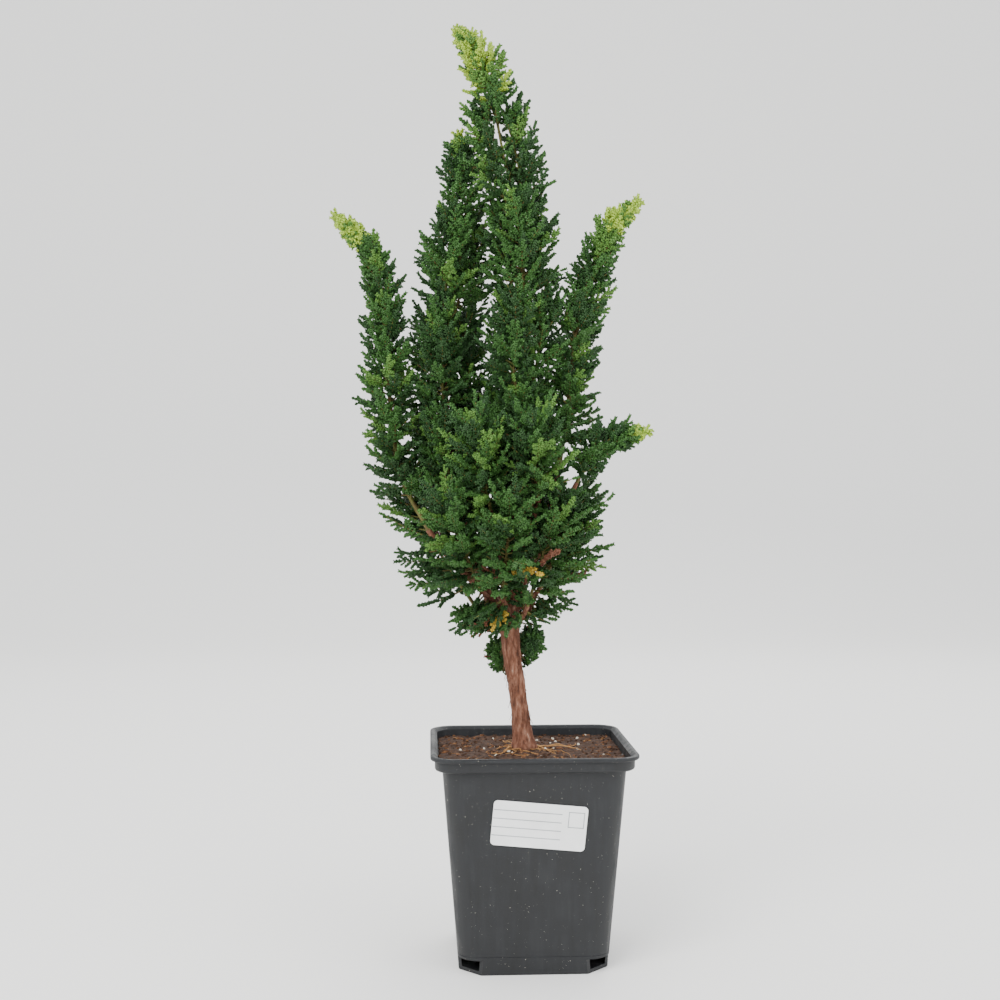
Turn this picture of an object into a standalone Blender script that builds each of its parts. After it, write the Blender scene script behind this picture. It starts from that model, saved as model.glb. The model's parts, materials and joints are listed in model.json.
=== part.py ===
"""Sekka hinoki cypress bonsai in its square nursery pot, at its own real size.

Metres, +Z up. The origin is the middle of the pot's flat underside, and the plant's front faces -Y.
A leading stem runs whole from the soil to near the top. A second stem, two long arms, a horn and
short boughs leave it low down. Masses of foliage sit round the stems and on the boughs' tips, and
each mass is one stem with a slim core and toothed fronds, and keeps to the space nearest its stem.
"""

import math
import random

import bmesh
import bpy
import numpy as np
from mathutils import Matrix, Vector

# Clearance between touching pieces, and between the foliage of neighbouring masses
GAP = 0.0003
MASS_GAP = 0.0006
CORE_GAP = 0.0024
FROND_CLEARANCE = 0.0011
FROND_SPACING = 0.0012

# Square pot: half widths of lip, band and body, its heights, corner radii and wall
POT_HEIGHT = 0.1162
LIP_HALF = 0.0550
LIP_DEPTH = 0.0022
BAND_HALF = 0.0527
BAND_DEPTH = 0.0078
BODY_TOP_HALF = 0.0487
BODY_FOOT_HALF = 0.0398
RIM_CORNER = 0.0140
BODY_CORNER = 0.0120
WALL = 0.0017
FLOOR = 0.0020
CORNER_STEPS = 5
DRAIN_HEIGHT = 0.0080

# Soil: its level at the wall and at the trunk, and the flat pad that the trunk stands on
SOIL_EDGE = 0.1106
GROUND = 0.1120
PAD_RADIUS = 0.0130

# Plain sticker on the pot's front
LABEL_SIZE = (0.0495, 0.0238)
LABEL_CORNER = 0.0022
LABEL_THICKNESS = 0.0004
LABEL_MIDDLE = (0.0017, 0.0801)
LABEL_TURN = math.radians(-5.2)

# Trunk girth: waist under the fork, top, and the root flare at the soil
FORK_HEIGHT = 0.1760
WAIST_RADIUS = 0.0047
FORK_RADIUS = 0.0052
TRUNK_TIP_RADIUS = 0.0007
FLARE = 0.0021
FLARE_HEIGHT = 0.0060
FLARE_LOBES = 5

# Lower crown: the half-egg that its foliage fills
BALL_CENTRE = Vector((-0.0200, 0.0020, 0.2490))
BALL_RADII = Vector((0.0650, 0.0560, 0.0690))
SIDE_BOUGHS = 8
SIDE_BOUGH_TURN = 34

# Fronds and cores
GOLDEN_ANGLE = math.pi * (3 - math.sqrt(5))
FROND_WIDTH = 0.80
FROND_MIDDLE = 0.58
FROND_THICKNESS = 0.26
CORE_SHARE = 0.52
ARM_CORE = 0.38
SEED = 20261


def reset_scene():
    for obj in list(bpy.data.objects):
        bpy.data.objects.remove(obj, do_unlink=True)


def material(name, colour, roughness):
    """A Principled material of one linear colour."""
    made = bpy.data.materials.get(name)
    if made is None:
        made = bpy.data.materials.new(name)
        made.use_nodes = True
        shader = made.node_tree.nodes["Principled BSDF"]
        shader.inputs["Base Color"].default_value = (*colour, 1)
        shader.inputs["Roughness"].default_value = roughness
        shader.inputs["Metallic"].default_value = 0.0
    return made


def add_object(name, bm, skin=None, smooth_angle=None):
    """Turns a bmesh into a named object in the scene."""
    mesh = bpy.data.meshes.new(name)
    bm.to_mesh(mesh)
    bm.free()
    obj = bpy.data.objects.new(name, mesh)
    bpy.context.scene.collection.objects.link(obj)
    if skin is not None:
        mesh.materials.append(skin)
    if smooth_angle is not None:
        mesh.shade_smooth()
        mesh.set_sharp_from_angle(angle=smooth_angle)
    return obj


def loft(bm, rings):
    """Skins rings of equal length, each anticlockwise seen from ahead, into one capped body."""
    loops = [[bm.verts.new(point) for point in ring] for ring in rings]
    count = len(loops[0])
    for lower, upper in zip(loops, loops[1:]):
        for i in range(count):
            j = (i + 1) % count
            bm.faces.new((lower[i], lower[j], upper[j], upper[i]))
    bm.faces.new(loops[0][::-1])
    bm.faces.new(loops[-1])


def apply_boolean(obj, operation, others, solver="EXACT"):
    """Joins or cuts the object with others, applies the result and removes them."""
    tools = bpy.data.collections.new("tools")
    bpy.context.scene.collection.children.link(tools)
    for other in others:
        other.hide_render = True
        other.display_type = "WIRE"
        bpy.context.scene.collection.objects.unlink(other)
        tools.objects.link(other)
    step = obj.modifiers.new(operation.lower(), "BOOLEAN")
    step.operation = operation
    step.solver = solver
    step.operand_type = "COLLECTION"
    step.collection = tools
    graph = bpy.context.evaluated_depsgraph_get()
    joined = bpy.data.meshes.new_from_object(obj.evaluated_get(graph))
    plain = obj.data
    obj.modifiers.clear()
    obj.data = joined
    joined.name = plain.name
    bpy.data.meshes.remove(plain)
    for other in others:
        bpy.data.objects.remove(other, do_unlink=True)
    bpy.data.collections.remove(tools)


def keep_largest_body(obj):
    """Drops loose scraps and fills sealed hollows: only the largest outer skin stays."""
    bm = bmesh.new()
    bm.from_mesh(obj.data)
    bmesh.ops.triangulate(bm, faces=bm.faces)
    unseen = set(bm.faces)
    bodies = []
    while unseen:
        body = []
        queue = [unseen.pop()]
        while queue:
            face = queue.pop()
            body.append(face)
            for edge in face.edges:
                for other in edge.link_faces:
                    if other in unseen:
                        unseen.discard(other)
                        queue.append(other)
        volume = sum(f.verts[0].co.dot(f.verts[1].co.cross(f.verts[2].co)) for f in body) / 6
        bodies.append((volume, body))
    bodies.sort(key=lambda entry: entry[0])
    for _, body in bodies[:-1]:
        bmesh.ops.delete(bm, geom=body, context="FACES")
    bm.to_mesh(obj.data)
    bm.free()


def rounded_square(half, corner, height):
    """One level of the pot: a square with round corners, anticlockwise from above."""
    ring = []
    for quarter in range(4):
        middle = math.radians(45 + 90 * quarter)
        centre = Vector((math.copysign(half - corner, math.cos(middle)),
                         math.copysign(half - corner, math.sin(middle))))
        for step in range(CORNER_STEPS + 1):
            angle = math.radians(90 * quarter + 90 * step / CORNER_STEPS)
            ring.append(Vector((centre.x + corner * math.cos(angle),
                                centre.y + corner * math.sin(angle), height)))
    return ring


def body_half(height):
    """Half width of the pot's outside at a height below the band."""
    share = height / (POT_HEIGHT - BAND_DEPTH)
    return BODY_FOOT_HALF + (BODY_TOP_HALF - BODY_FOOT_HALF) * share


def drain_cutters(inset, height):
    """Four wedges that open the pot's foot at its round corners."""
    reach = (2 * BODY_FOOT_HALF - BODY_CORNER) / math.sqrt(2) - inset
    cutters = []
    for quarter in range(4):
        bm = bmesh.new()
        bmesh.ops.create_cube(bm, size=1)
        turn = Matrix.Rotation(math.radians(45 + 90 * quarter), 4, "Z")
        place = Matrix.Translation((reach + BODY_CORNER, 0, 0))
        size = Matrix.Diagonal((2 * BODY_CORNER, 4 * BODY_CORNER, 2 * height, 1))
        bmesh.ops.transform(bm, matrix=turn @ place @ size, verts=bm.verts)
        cutters.append(add_object("drain_cutter", bm))
    return cutters


def make_pot():
    """Thin-walled square pot: tapering body, band, rolled lip, floor and open foot corners."""
    band_foot = POT_HEIGHT - BAND_DEPTH
    lip_foot = POT_HEIGHT - LIP_DEPTH
    lip_inner = LIP_HALF - 0.0022
    levels = [
        (BODY_FOOT_HALF - 0.0006, BODY_CORNER - 0.0006, 0),
        (body_half(0.0006), BODY_CORNER, 0.0006),
        (body_half(band_foot), BODY_CORNER, band_foot),
        (BAND_HALF - 0.0010, RIM_CORNER - 0.0030, band_foot),
        (BAND_HALF - 0.0002, RIM_CORNER - 0.0022, band_foot + 0.0010),
        (BAND_HALF, RIM_CORNER - 0.0020, lip_foot),
        (LIP_HALF - 0.0003, RIM_CORNER - 0.0003, lip_foot),
        (LIP_HALF, RIM_CORNER, POT_HEIGHT - 0.0012),
        (LIP_HALF - 0.0006, RIM_CORNER - 0.0006, POT_HEIGHT),
        (lip_inner, RIM_CORNER - 0.0022, POT_HEIGHT),
        (BAND_HALF - WALL, RIM_CORNER - 0.0036, POT_HEIGHT - 0.0016),
        (BAND_HALF - WALL - 0.0003, RIM_CORNER - 0.0038, band_foot + WALL),
        (body_half(band_foot) - WALL, BODY_CORNER - WALL, band_foot + 0.4 * WALL),
        (body_half(FLOOR) - WALL, BODY_CORNER - WALL, FLOOR),
    ]
    bm = bmesh.new()
    loft(bm, [rounded_square(*level) for level in levels])
    pot = add_object("pot", bm, material("black_plastic", (0.055, 0.058, 0.065), 0.5))
    apply_boolean(pot, "DIFFERENCE", drain_cutters(0, DRAIN_HEIGHT))
    keep_largest_body(pot)
    pot.data.shade_smooth()
    pot.data.set_sharp_from_angle(angle=math.radians(35))


def make_soil():
    """Potting mix that fills the pot, low at the walls and rising to a flat pad at the trunk."""
    band_foot = POT_HEIGHT - BAND_DEPTH
    inside = WALL + GAP
    foot = (-0.0032, 0.0)
    levels = [
        (body_half(FLOOR) - inside, BODY_CORNER - inside, FLOOR + GAP),
        (body_half(band_foot) - inside, BODY_CORNER - inside, band_foot + 0.4 * WALL),
        (BAND_HALF - inside - 0.0004, RIM_CORNER - 0.0043, SOIL_EDGE),
    ]
    rings = [rounded_square(*level) for level in levels]
    edge = rings[-1]
    pad = []
    for point in edge:
        outward = Vector((point.x, point.y)).normalized() * PAD_RADIUS
        pad.append(Vector((foot[0] + outward.x, foot[1] + outward.y, GROUND)))
    middle = [point.lerp(inner, 0.55) for point, inner in zip(edge, pad)]
    for i, point in enumerate(middle):
        point.z += 0.0004 * math.sin(2.3 * i)
    bm = bmesh.new()
    loft(bm, rings + [middle, pad])
    soil = add_object("soil", bm, material("potting_mix", (0.075, 0.040, 0.024), 0.95))
    apply_boolean(soil, "DIFFERENCE", drain_cutters(3 * GAP, DRAIN_HEIGHT + 3 * GAP))
    keep_largest_body(soil)


def make_label():
    """Plain sticker that lies on the pot's sloping front, turned a little clockwise."""
    bm = bmesh.new()
    outline = []
    for quarter in range(4):
        middle = math.radians(45 + 90 * quarter)
        x = math.copysign(LABEL_SIZE[0] / 2 - LABEL_CORNER, math.cos(middle))
        y = math.copysign(LABEL_SIZE[1] / 2 - LABEL_CORNER, math.sin(middle))
        for step in range(CORNER_STEPS):
            angle = math.radians(90 * quarter + 90 * step / (CORNER_STEPS - 1))
            outline.append((x + LABEL_CORNER * math.cos(angle), y + LABEL_CORNER * math.sin(angle)))
    loft(bm, [[Vector((x, y, height)) for x, y in outline] for height in (0, LABEL_THICKNESS)])
    label = add_object("label", bm, material("white_paper", (0.80, 0.80, 0.80), 0.45))
    lean = math.atan2(BODY_TOP_HALF - BODY_FOOT_HALF, POT_HEIGHT - BAND_DEPTH)
    x, z = LABEL_MIDDLE
    outward = Vector((0, -math.cos(lean), -math.sin(lean)))
    middle = Vector((x, -body_half(z), z)) + outward * (GAP + 0.00005)
    label.matrix_world = (Matrix.Translation(middle) @ Matrix.Rotation(math.pi / 2 + lean, 4, "X")
                          @ Matrix.Rotation(LABEL_TURN, 4, "Z"))


def smooth_path(points, spacing):
    """Even steps along one smooth curve through the points."""
    knots = [Vector(point) for point in points]
    knots = [2 * knots[0] - knots[1], *knots, 2 * knots[-1] - knots[-2]]
    steps = 12
    fine = []
    for a, b, c, d in zip(knots, knots[1:], knots[2:], knots[3:]):
        for k in range(steps):
            t = k / steps
            fine.append(0.5 * (2 * b + (c - a) * t + (2 * a - 5 * b + 4 * c - d) * t ** 2
                               + (3 * b - a - 3 * c + d) * t ** 3))
    fine.append(knots[-2])
    fine = np.array(fine)
    lengths = np.concatenate(([0], np.cumsum(np.linalg.norm(np.diff(fine, axis=0), axis=1))))
    count = max(2, round(lengths[-1] / spacing))
    even = np.linspace(0, lengths[-1], count + 1)
    return np.stack([np.interp(even, lengths, fine[:, k]) for k in range(3)], axis=1)


class Shoot:
    """A tapering limb or stem: a path with a radius at each point."""

    def __init__(self, name, points, root_radius, tip_radius, spacing, taper=1.0):
        self.name = name
        self.path = smooth_path(points, spacing)
        share = np.linspace(0, 1, len(self.path))
        self.radii = tip_radius + (root_radius - tip_radius) * (1 - share) ** taper

    def at(self, share):
        """Point, direction and radius at a share of the length."""
        place = share * (len(self.path) - 1)
        index = min(int(place), len(self.path) - 2)
        rest = place - index
        low, high = self.path[index], self.path[index + 1]
        point = Vector(low + (high - low) * rest)
        radius = self.radii[index] + (self.radii[index + 1] - self.radii[index]) * rest
        return point, Vector(high - low).normalized(), float(radius)

    def share_at_height(self, height):
        return float(np.interp(height, self.path[:, 2], np.linspace(0, 1, len(self.path))))


def sideways(direction, angle):
    """A unit vector square to the direction, at an angle round it counted from the front."""
    front = Vector((0, -1, 0)) if abs(direction.y) < 0.9 else Vector((0, 0, 1))
    across = (front - direction * front.dot(direction)).normalized()
    return across * math.cos(angle) + direction.cross(across) * math.sin(angle)


def tube_rings(path, radii, sides, extra=0.0):
    """Rings square to a path; extra makes the tube thicker and longer all over."""
    points = [Vector(point) for point in path]
    tangents = []
    for i in range(len(points)):
        ahead = points[min(i + 1, len(points) - 1)]
        behind = points[max(i - 1, 0)]
        tangents.append((ahead - behind).normalized())
    points[0] = points[0] - tangents[0] * extra
    points[-1] = points[-1] + tangents[-1] * extra
    across = sideways(tangents[0], 0)
    rings = []
    for point, tangent, radius in zip(points, tangents, radii):
        across = (across - tangent * across.dot(tangent)).normalized()
        other = tangent.cross(across)
        angles = [2 * math.pi * k / sides for k in range(sides)]
        rings.append([point + (across * math.cos(a) + other * math.sin(a)) * (radius + extra)
                      for a in angles])
    return rings


def make_trunk_shape():
    """The leading stem, from the soil to near the top of the tree."""
    points = [(-0.0032, 0.0000, GROUND + GAP), (-0.0066, 0.0004, 0.1444), (-0.0107, 0.0000, 0.1720),
              (-0.0098, -0.0010, 0.2160), (-0.0086, -0.0030, 0.2780), (-0.0034, -0.0040, 0.3500),
              (-0.0059, -0.0036, 0.4000), (-0.0150, -0.0030, 0.4410), (-0.0185, -0.0026, 0.4620)]
    trunk = Shoot("trunk", points, FORK_RADIUS, TRUNK_TIP_RADIUS, 0.0120)
    for i, height in enumerate(trunk.path[:, 2]):
        if height < FORK_HEIGHT:
            share = (height - GROUND) / (FORK_HEIGHT - GROUND)
            radius = WAIST_RADIUS + (FORK_RADIUS - WAIST_RADIUS) * (2 * share - 1) ** 2
        else:
            share = (height - FORK_HEIGHT) / (points[-1][2] - FORK_HEIGHT)
            radius = TRUNK_TIP_RADIUS + (FORK_RADIUS - TRUNK_TIP_RADIUS) * (1 - share) ** 2
        trunk.radii[i] = radius
    return trunk


def trunk_rings(trunk, sides, extra=0.0):
    """The trunk's rings with its lobed root flare, and a level cut at the soil."""
    path = list(trunk.path)
    radii = list(trunk.radii)
    for height in (0.0022, 0.0050):
        point, _, radius = trunk.at(trunk.share_at_height(GROUND + height))
        path.insert(-len(trunk.path) + 1, np.array(point))
        radii.insert(-len(trunk.path) + 1, radius)
    rings = tube_rings(path, radii, sides, extra)
    for ring, point in zip(rings, path):
        above = point[2] - GROUND - GAP
        flare = FLARE * math.exp(-above / FLARE_HEIGHT)
        centre = Vector(point)
        for k, corner in enumerate(ring):
            lobe = 1 + 0.35 * math.cos(FLARE_LOBES * 2 * math.pi * k / sides)
            corner += (corner - centre).normalized() * flare * lobe
    for corner in rings[0]:
        corner.z = GROUND + GAP - extra
    return rings


def make_limbs():
    """The trunk and every bough, as shoots: from the limb each leaves to where it enters its mass."""
    trunk = make_trunk_shape()
    limbs = {"trunk": trunk}

    def bough(name, leaves_at, points, root_radius, tip_radius, taper=1.0, spacing=0.0110):
        start, _, _ = trunk.at(trunk.share_at_height(leaves_at))
        limbs[name] = Shoot(name, [start, *points], root_radius, tip_radius, spacing, taper)

    bough("second_stem", 0.1730,
          [(-0.0190, 0.0050, 0.1890), (-0.0290, 0.0080, 0.2165), (-0.0400, 0.0100, 0.2560),
           (-0.0465, 0.0100, 0.3010), (-0.0450, 0.0090, 0.3400), (-0.0390, 0.0080, 0.3800),
           (-0.0365, 0.0070, 0.4080)],
          0.0038, 0.0008, taper=1.3, spacing=0.0140)
    bough("left_arm_bough", 0.1900,
          [(-0.0240, -0.0060, 0.2000), (-0.0400, -0.0050, 0.2130), (-0.0560, -0.0010, 0.2330)],
          0.0028, 0.0016)
    bough("right_arm_bough", 0.1940,
          [(0.0010, 0.0020, 0.2120), (0.0100, 0.0040, 0.2400), (0.0160, 0.0030, 0.2640)],
          0.0026, 0.0016)
    bough("horn_bough", 0.2030,
          [(0.0030, -0.0080, 0.2180), (0.0170, -0.0110, 0.2430), (0.0250, -0.0110, 0.2590)],
          0.0020, 0.0012)
    for side, name in ((-1, "left"), (1, "right")):
        middle = BALL_CENTRE.x / 2
        bough(f"front_bough_{name}", 0.2090 + 0.0030 * side,
              [(middle + 0.0070 * side, -0.0145, 0.2250 + 0.003 * side),
               (middle + 0.0130 * side, -0.0275, 0.2470 + 0.003 * side)], 0.0022, 0.0013)
        bough(f"back_bough_{name}", 0.2030 + 0.0035 * side,
              [(middle + 0.0080 * side, 0.0145, 0.2210 + 0.003 * side),
               (middle + 0.0120 * side, 0.0275, 0.2510 + 0.003 * side)], 0.0022, 0.0013)
    for i in range(SIDE_BOUGHS):
        angle = math.radians(SIDE_BOUGH_TURN + 360 * i / SIDE_BOUGHS)
        foot = 0.1790 + 0.0045 * (i * 2 % 3)
        start, _, _ = trunk.at(trunk.share_at_height(foot))
        outward = Vector((math.cos(angle), math.sin(angle), 0))
        bough(f"side_bough_{i + 1}", foot,
              [start + outward * 0.0100 + Vector((0, 0, 0.0060)),
               start + outward * 0.0190 + Vector((-0.0020, 0, 0.0130))],
              0.0021, 0.0012, spacing=0.0080)
    return limbs


def limb_rings(limb, extra=0.0):
    if limb.name == "trunk":
        return trunk_rings(limb, 10, extra)
    return tube_rings(limb.path, limb.radii, 7 if limb.name == "second_stem" else 6, extra)


class Mass:
    """One mass of foliage: a stem that leaves a limb, the length of its fronds and their count."""

    def __init__(self, name, limb, points, reach, fronds, lean=(72, 36), stem=0.0010, first=0.12,
                 low=False, core=CORE_SHARE):
        self.name = name
        self.limb = limb
        self.stem = Shoot(name, points, stem, 0.45 * stem, 0.0100)
        self.reach = reach
        self.fronds = fronds
        self.lean = lean
        self.first = first
        self.low = low
        self.core = core


def plume_masses(masses, limb, prefix, foot, height, places, offset, reach, fronds):
    """Masses that climb round a stem from one level, at the given angles from the front."""
    for place, angle in places.items():
        start, direction, _ = limb.at(limb.share_at_height(foot))
        end, _, _ = limb.at(limb.share_at_height(foot + height))
        outward = sideways(direction, math.radians(angle))
        knee = start.lerp(end, 0.30) + outward * offset * 0.80
        masses.append(Mass(f"{prefix}_{place}", limb.name, [start, knee, end + outward * offset],
                           reach, fronds))


def make_masses(limbs):
    """Every mass of foliage, level by level up the stems and then out along the boughs."""
    masses = []
    trunk = limbs["trunk"]
    second = limbs["second_stem"]
    three = {"front": 0, "right": 118, "back": 240}
    turned = {"front": -25, "right": 90, "back": 205}
    pair = {"left": -80, "right": 100}
    for level, foot, places, offset, reach in ((1, 0.248, three, 0.0110, 0.0225),
                                               (2, 0.302, turned, 0.0105, 0.0225),
                                               (3, 0.354, three, 0.0085, 0.0195),
                                               (4, 0.404, pair, 0.0070, 0.0185)):
        plume_masses(masses, trunk, f"leader_{level}", foot, 0.057, places, offset, reach, 9)
    other = {"front": -20, "left": -130, "back": 130}
    slim = {"front": -40, "back": 150}
    for level, foot, places, offset, reach in ((1, 0.240, other, 0.0130, 0.0235),
                                               (2, 0.294, other, 0.0110, 0.0225),
                                               (3, 0.348, slim, 0.0090, 0.0220)):
        plume_masses(masses, second, f"second_{level}", foot, 0.057, places, offset, reach, 9)

    def on_tip(name, limb_name, points, reach, fronds, **more):
        limb = limbs[limb_name]
        start, _, radius = limb.at(0.96)
        masses.append(Mass(name, limb_name, [start, *points], reach, fronds,
                           stem=0.9 * radius, **more))

    def on_trunk(name, foot, points, reach, fronds, **more):
        start, _, _ = trunk.at(trunk.share_at_height(foot))
        masses.append(Mass(name, "trunk", [start, *points], reach, fronds, **more))

    on_tip("leader_tip", "trunk", [(-0.0240, -0.0022, 0.4830), (-0.0375, -0.0020, 0.5045)],
           0.0190, 11, lean=(74, 16))
    on_tip("second_tip", "second_stem", [(-0.0370, 0.0070, 0.4300), (-0.0385, 0.0070, 0.4470)],
           0.0190, 8, lean=(74, 24))
    on_tip("left_arm", "left_arm_bough",
           [(-0.0715, 0.0010, 0.2640), (-0.0775, 0.0020, 0.3080), (-0.0805, 0.0020, 0.3550),
            (-0.0865, 0.0010, 0.3840), (-0.1030, 0.0000, 0.4020)], 0.0200, 29, lean=(76, 34),
           core=ARM_CORE)
    on_tip("right_arm", "right_arm_bough",
           [(0.0215, 0.0020, 0.3000), (0.0255, 0.0010, 0.3400), (0.0350, 0.0000, 0.3740),
            (0.0430, -0.0010, 0.3980), (0.0560, -0.0020, 0.4110)], 0.0205, 26, lean=(76, 34),
           core=ARM_CORE)
    on_tip("horn", "horn_bough", [(0.0370, -0.0100, 0.2790), (0.0580, -0.0090, 0.2860)],
           0.0160, 9, lean=(70, 20))
    on_tip("front_left", "front_bough_left", [(-0.0310, -0.0370, 0.2860)], 0.0260, 10)
    on_tip("front_right", "front_bough_right", [(-0.0010, -0.0380, 0.2870)], 0.0260, 10)
    on_tip("back_left", "back_bough_left", [(-0.0310, 0.0340, 0.3020)], 0.0260, 10)
    on_tip("back_right", "back_bough_right", [(0.0050, 0.0330, 0.3060)], 0.0260, 10)
    on_trunk("tuft_left", 0.1540, [(-0.0120, 0.0090, 0.1590), (-0.0160, 0.0120, 0.1650)],
             0.0105, 7, lean=(90, 30), first=0.4, low=True)
    on_trunk("tuft_right", 0.1600, [(-0.0010, 0.0080, 0.1660), (0.0020, 0.0110, 0.1710)],
             0.0100, 7, lean=(90, 30), first=0.4, low=True)
    for i in range(SIDE_BOUGHS):
        limb = limbs[f"side_bough_{i + 1}"]
        tip, _, _ = limb.at(1.0)
        outward = Vector((tip.x - BALL_CENTRE.x, tip.y - BALL_CENTRE.y, 0)).normalized()
        reach = Vector((outward.x * BALL_RADII.x, outward.y * BALL_RADII.y, 0)) * 0.70
        end = Vector((BALL_CENTRE.x, BALL_CENTRE.y, 0.2480)) + reach
        on_tip(f"side_{i + 1}", limb.name, [tip.lerp(end, 0.5) + Vector((0, 0, -0.002)), end],
               0.0300, 11, lean=(88, 40))
    return masses


def distances(points, starts, ends):
    """Distance from each point to each straight piece."""
    span = ends - starts
    offset = points[:, None, :] - starts[None, :, :]
    share = np.einsum("pmk,mk->pm", offset, span) / np.einsum("mk,mk->m", span, span)
    return np.linalg.norm(offset - np.clip(share, 0, 1)[:, :, None] * span, axis=2)


class Space:
    """Tells whether points lie in a mass's own space and clear of every limb."""

    def __init__(self, limbs, masses):
        self.limb_starts = np.concatenate([limb.path[:-1] for limb in limbs.values()])
        self.limb_ends = np.concatenate([limb.path[1:] for limb in limbs.values()])
        self.limb_radii = np.concatenate([limb.radii[:-1] for limb in limbs.values()])
        self.starts = np.concatenate([mass.stem.path[:-1] for mass in masses])
        self.ends = np.concatenate([mass.stem.path[1:] for mass in masses])
        self.low = [mass.low for mass in masses]
        self.owners = np.concatenate([[i] * (len(mass.stem.path) - 1)
                                      for i, mass in enumerate(masses)])

    def own(self, points, owner, gap):
        """In the mass's own cell, and in the egg of the lower crown unless the mass hangs below it."""
        to_stems = distances(points, self.starts, self.ends)
        mine = to_stems[:, self.owners == owner].min(axis=1)
        others = to_stems[:, self.owners != owner].min(axis=1)
        below = points - np.array(BALL_CENTRE)
        below[:, 2] = np.minimum(below[:, 2], 0)
        inside = np.linalg.norm(below / np.array(BALL_RADII), axis=1) < 1
        high = (points[:, 2] > BALL_CENTRE.z) | inside | self.low[owner]
        return (mine + gap < others) & high

    def clear(self, points, gap):
        to_limbs = distances(points, self.limb_starts, self.limb_ends) - self.limb_radii
        return to_limbs.min(axis=1) > gap

    def admits(self, points, owner):
        return bool(self.own(points, owner, MASS_GAP).all()
                    and self.clear(points, FROND_CLEARANCE).all())


def frond_outline(rng):
    """A toothed blade of unit length, as places along and across it, round from its root."""
    right = rng.uniform(0.85, 1.1)
    left = rng.uniform(0.85, 1.1)
    return [(0.0, 0.0), (0.80 * right, 0.50 * right), (0.77, 0.20), (1.0, 0.0),
            (0.77, -0.20), (0.80 * left, -0.50 * left)]


def frond_points(root, axis, side, length, outline):
    return [root + axis * length * along + side * length * FROND_WIDTH * across
            for along, across in outline]


def frond_samples(root, axis, normal, length, rim):
    """Points spread over a blade's rim and its two faces, that have to be free."""
    centre = root + axis * length * FROND_MIDDLE
    rise = normal * length * FROND_THICKNESS / 2
    samples = [root + axis * length * share for share in (0.35, 0.8)]
    for peak in (centre - rise, centre + rise):
        for corner, following in zip(rim, rim[1:] + rim[:1]):
            for edge in (corner, corner.lerp(following, 0.5)):
                samples.extend(peak.lerp(edge, share) for share in (0.0, 0.35, 0.7, 1.0))
    return [point for point in samples if (point - root).length > 0.30 * length]


def spaced(samples, placed):
    """Tells whether a frond stays clear of those already on its stem, so that few faces cross."""
    if not placed:
        return True
    others = np.concatenate(placed)
    apart = np.linalg.norm(samples[:, None, :] - others[None, :, :], axis=2)
    return apart.min() > FROND_SPACING


def make_frond(centre, normal, rim, thickness):
    """A blade thick in its middle and thin at its toothed rim."""
    bm = bmesh.new()
    top = bm.verts.new(centre + normal * thickness / 2)
    bottom = bm.verts.new(centre - normal * thickness / 2)
    corners = [bm.verts.new(point) for point in rim]
    for corner, following in zip(corners, corners[1:] + corners[:1]):
        bm.faces.new((corner, following, top))
        bm.faces.new((following, corner, bottom))
    bmesh.ops.recalc_face_normals(bm, faces=bm.faces)
    return add_object("frond", bm)


def grow_fronds(mass, owner, space):
    """Fronds up the stem, turned on by the golden angle, each as long as its space allows."""
    rng = random.Random(SEED + owner)
    grown = []
    placed = []
    for i in range(mass.fronds):
        along = (i + 0.5) / mass.fronds
        root, direction, _ = mass.stem.at(mass.first + (1 - mass.first) * along)
        for attempt in range(8):
            turn = (i + attempt * 0.37) * GOLDEN_ANGLE + rng.uniform(-0.3, 0.3)
            lean = math.radians(mass.lean[0] + (mass.lean[1] - mass.lean[0]) * along)
            outward = sideways(direction, turn)
            axis = direction * math.cos(lean) + outward * math.sin(lean)
            side = axis.cross(direction).normalized()
            roll = rng.uniform(0.4, 2.2)
            side = side * math.cos(roll) + axis.cross(side) * math.sin(roll)
            length = mass.reach * rng.uniform(0.85, 1.05) * (1 - 0.35 * along ** 3)
            length *= 1.0 - 0.08 * attempt
            outline = frond_outline(rng)
            rim = frond_points(root, axis, side, length, outline)
            normal = axis.cross(side)
            samples = np.array(frond_samples(root, axis, normal, length, rim))
            if spaced(samples, placed) and space.admits(samples, owner):
                centre = root + axis * length * FROND_MIDDLE
                grown.append(make_frond(centre, normal, rim, FROND_THICKNESS * length))
                placed.append(samples)
                break
    return grown


def make_core(mass, owner, space):
    """A slim spindle round the stem, drawn in where another mass or a limb is near."""
    sides = 6
    shares = (0.06, 0.30, 0.68, 0.95)
    swell = (0.45, 1.0, 0.90, 0.30)
    path = [np.array(mass.stem.at(share)[0]) for share in shares]
    radii = [mass.reach * mass.core * size for size in swell]
    rings = tube_rings(path, radii, sides)
    for ring, point in zip(rings, path):
        centre = Vector(point)
        for k, corner in enumerate(ring):
            for share in (1.0, 0.9, 0.8, 0.7, 0.6, 0.5, 0.4, 0.3, 0.2):
                ring[k] = centre.lerp(corner, share)
                if space.own(np.array([ring[k]]), owner, CORE_GAP).all():
                    break
    bm = bmesh.new()
    loft(bm, rings)
    return add_object("core", bm)


def make_mass(mass, owner, space, limbs, leaf):
    """Fuses stem, core and fronds into one body and cuts it clear of the limbs."""
    bm = bmesh.new()
    loft(bm, tube_rings(mass.stem.path, mass.stem.radii, 3))
    body = add_object(mass.name, bm, leaf)
    parts = grow_fronds(mass, owner, space)
    parts.append(make_core(mass, owner, space))
    apply_boolean(body, "UNION", parts)
    cutters = []
    for limb in limbs.values():
        to_limb = distances(mass.stem.path, limb.path[:-1], limb.path[1:]).min()
        if to_limb < 2 * mass.reach:
            bm = bmesh.new()
            loft(bm, limb_rings(limb, GAP))
            cutters.append(add_object("limb_cutter", bm))
    if cutters:
        apply_boolean(body, "DIFFERENCE", cutters)
    keep_largest_body(body)


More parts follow.
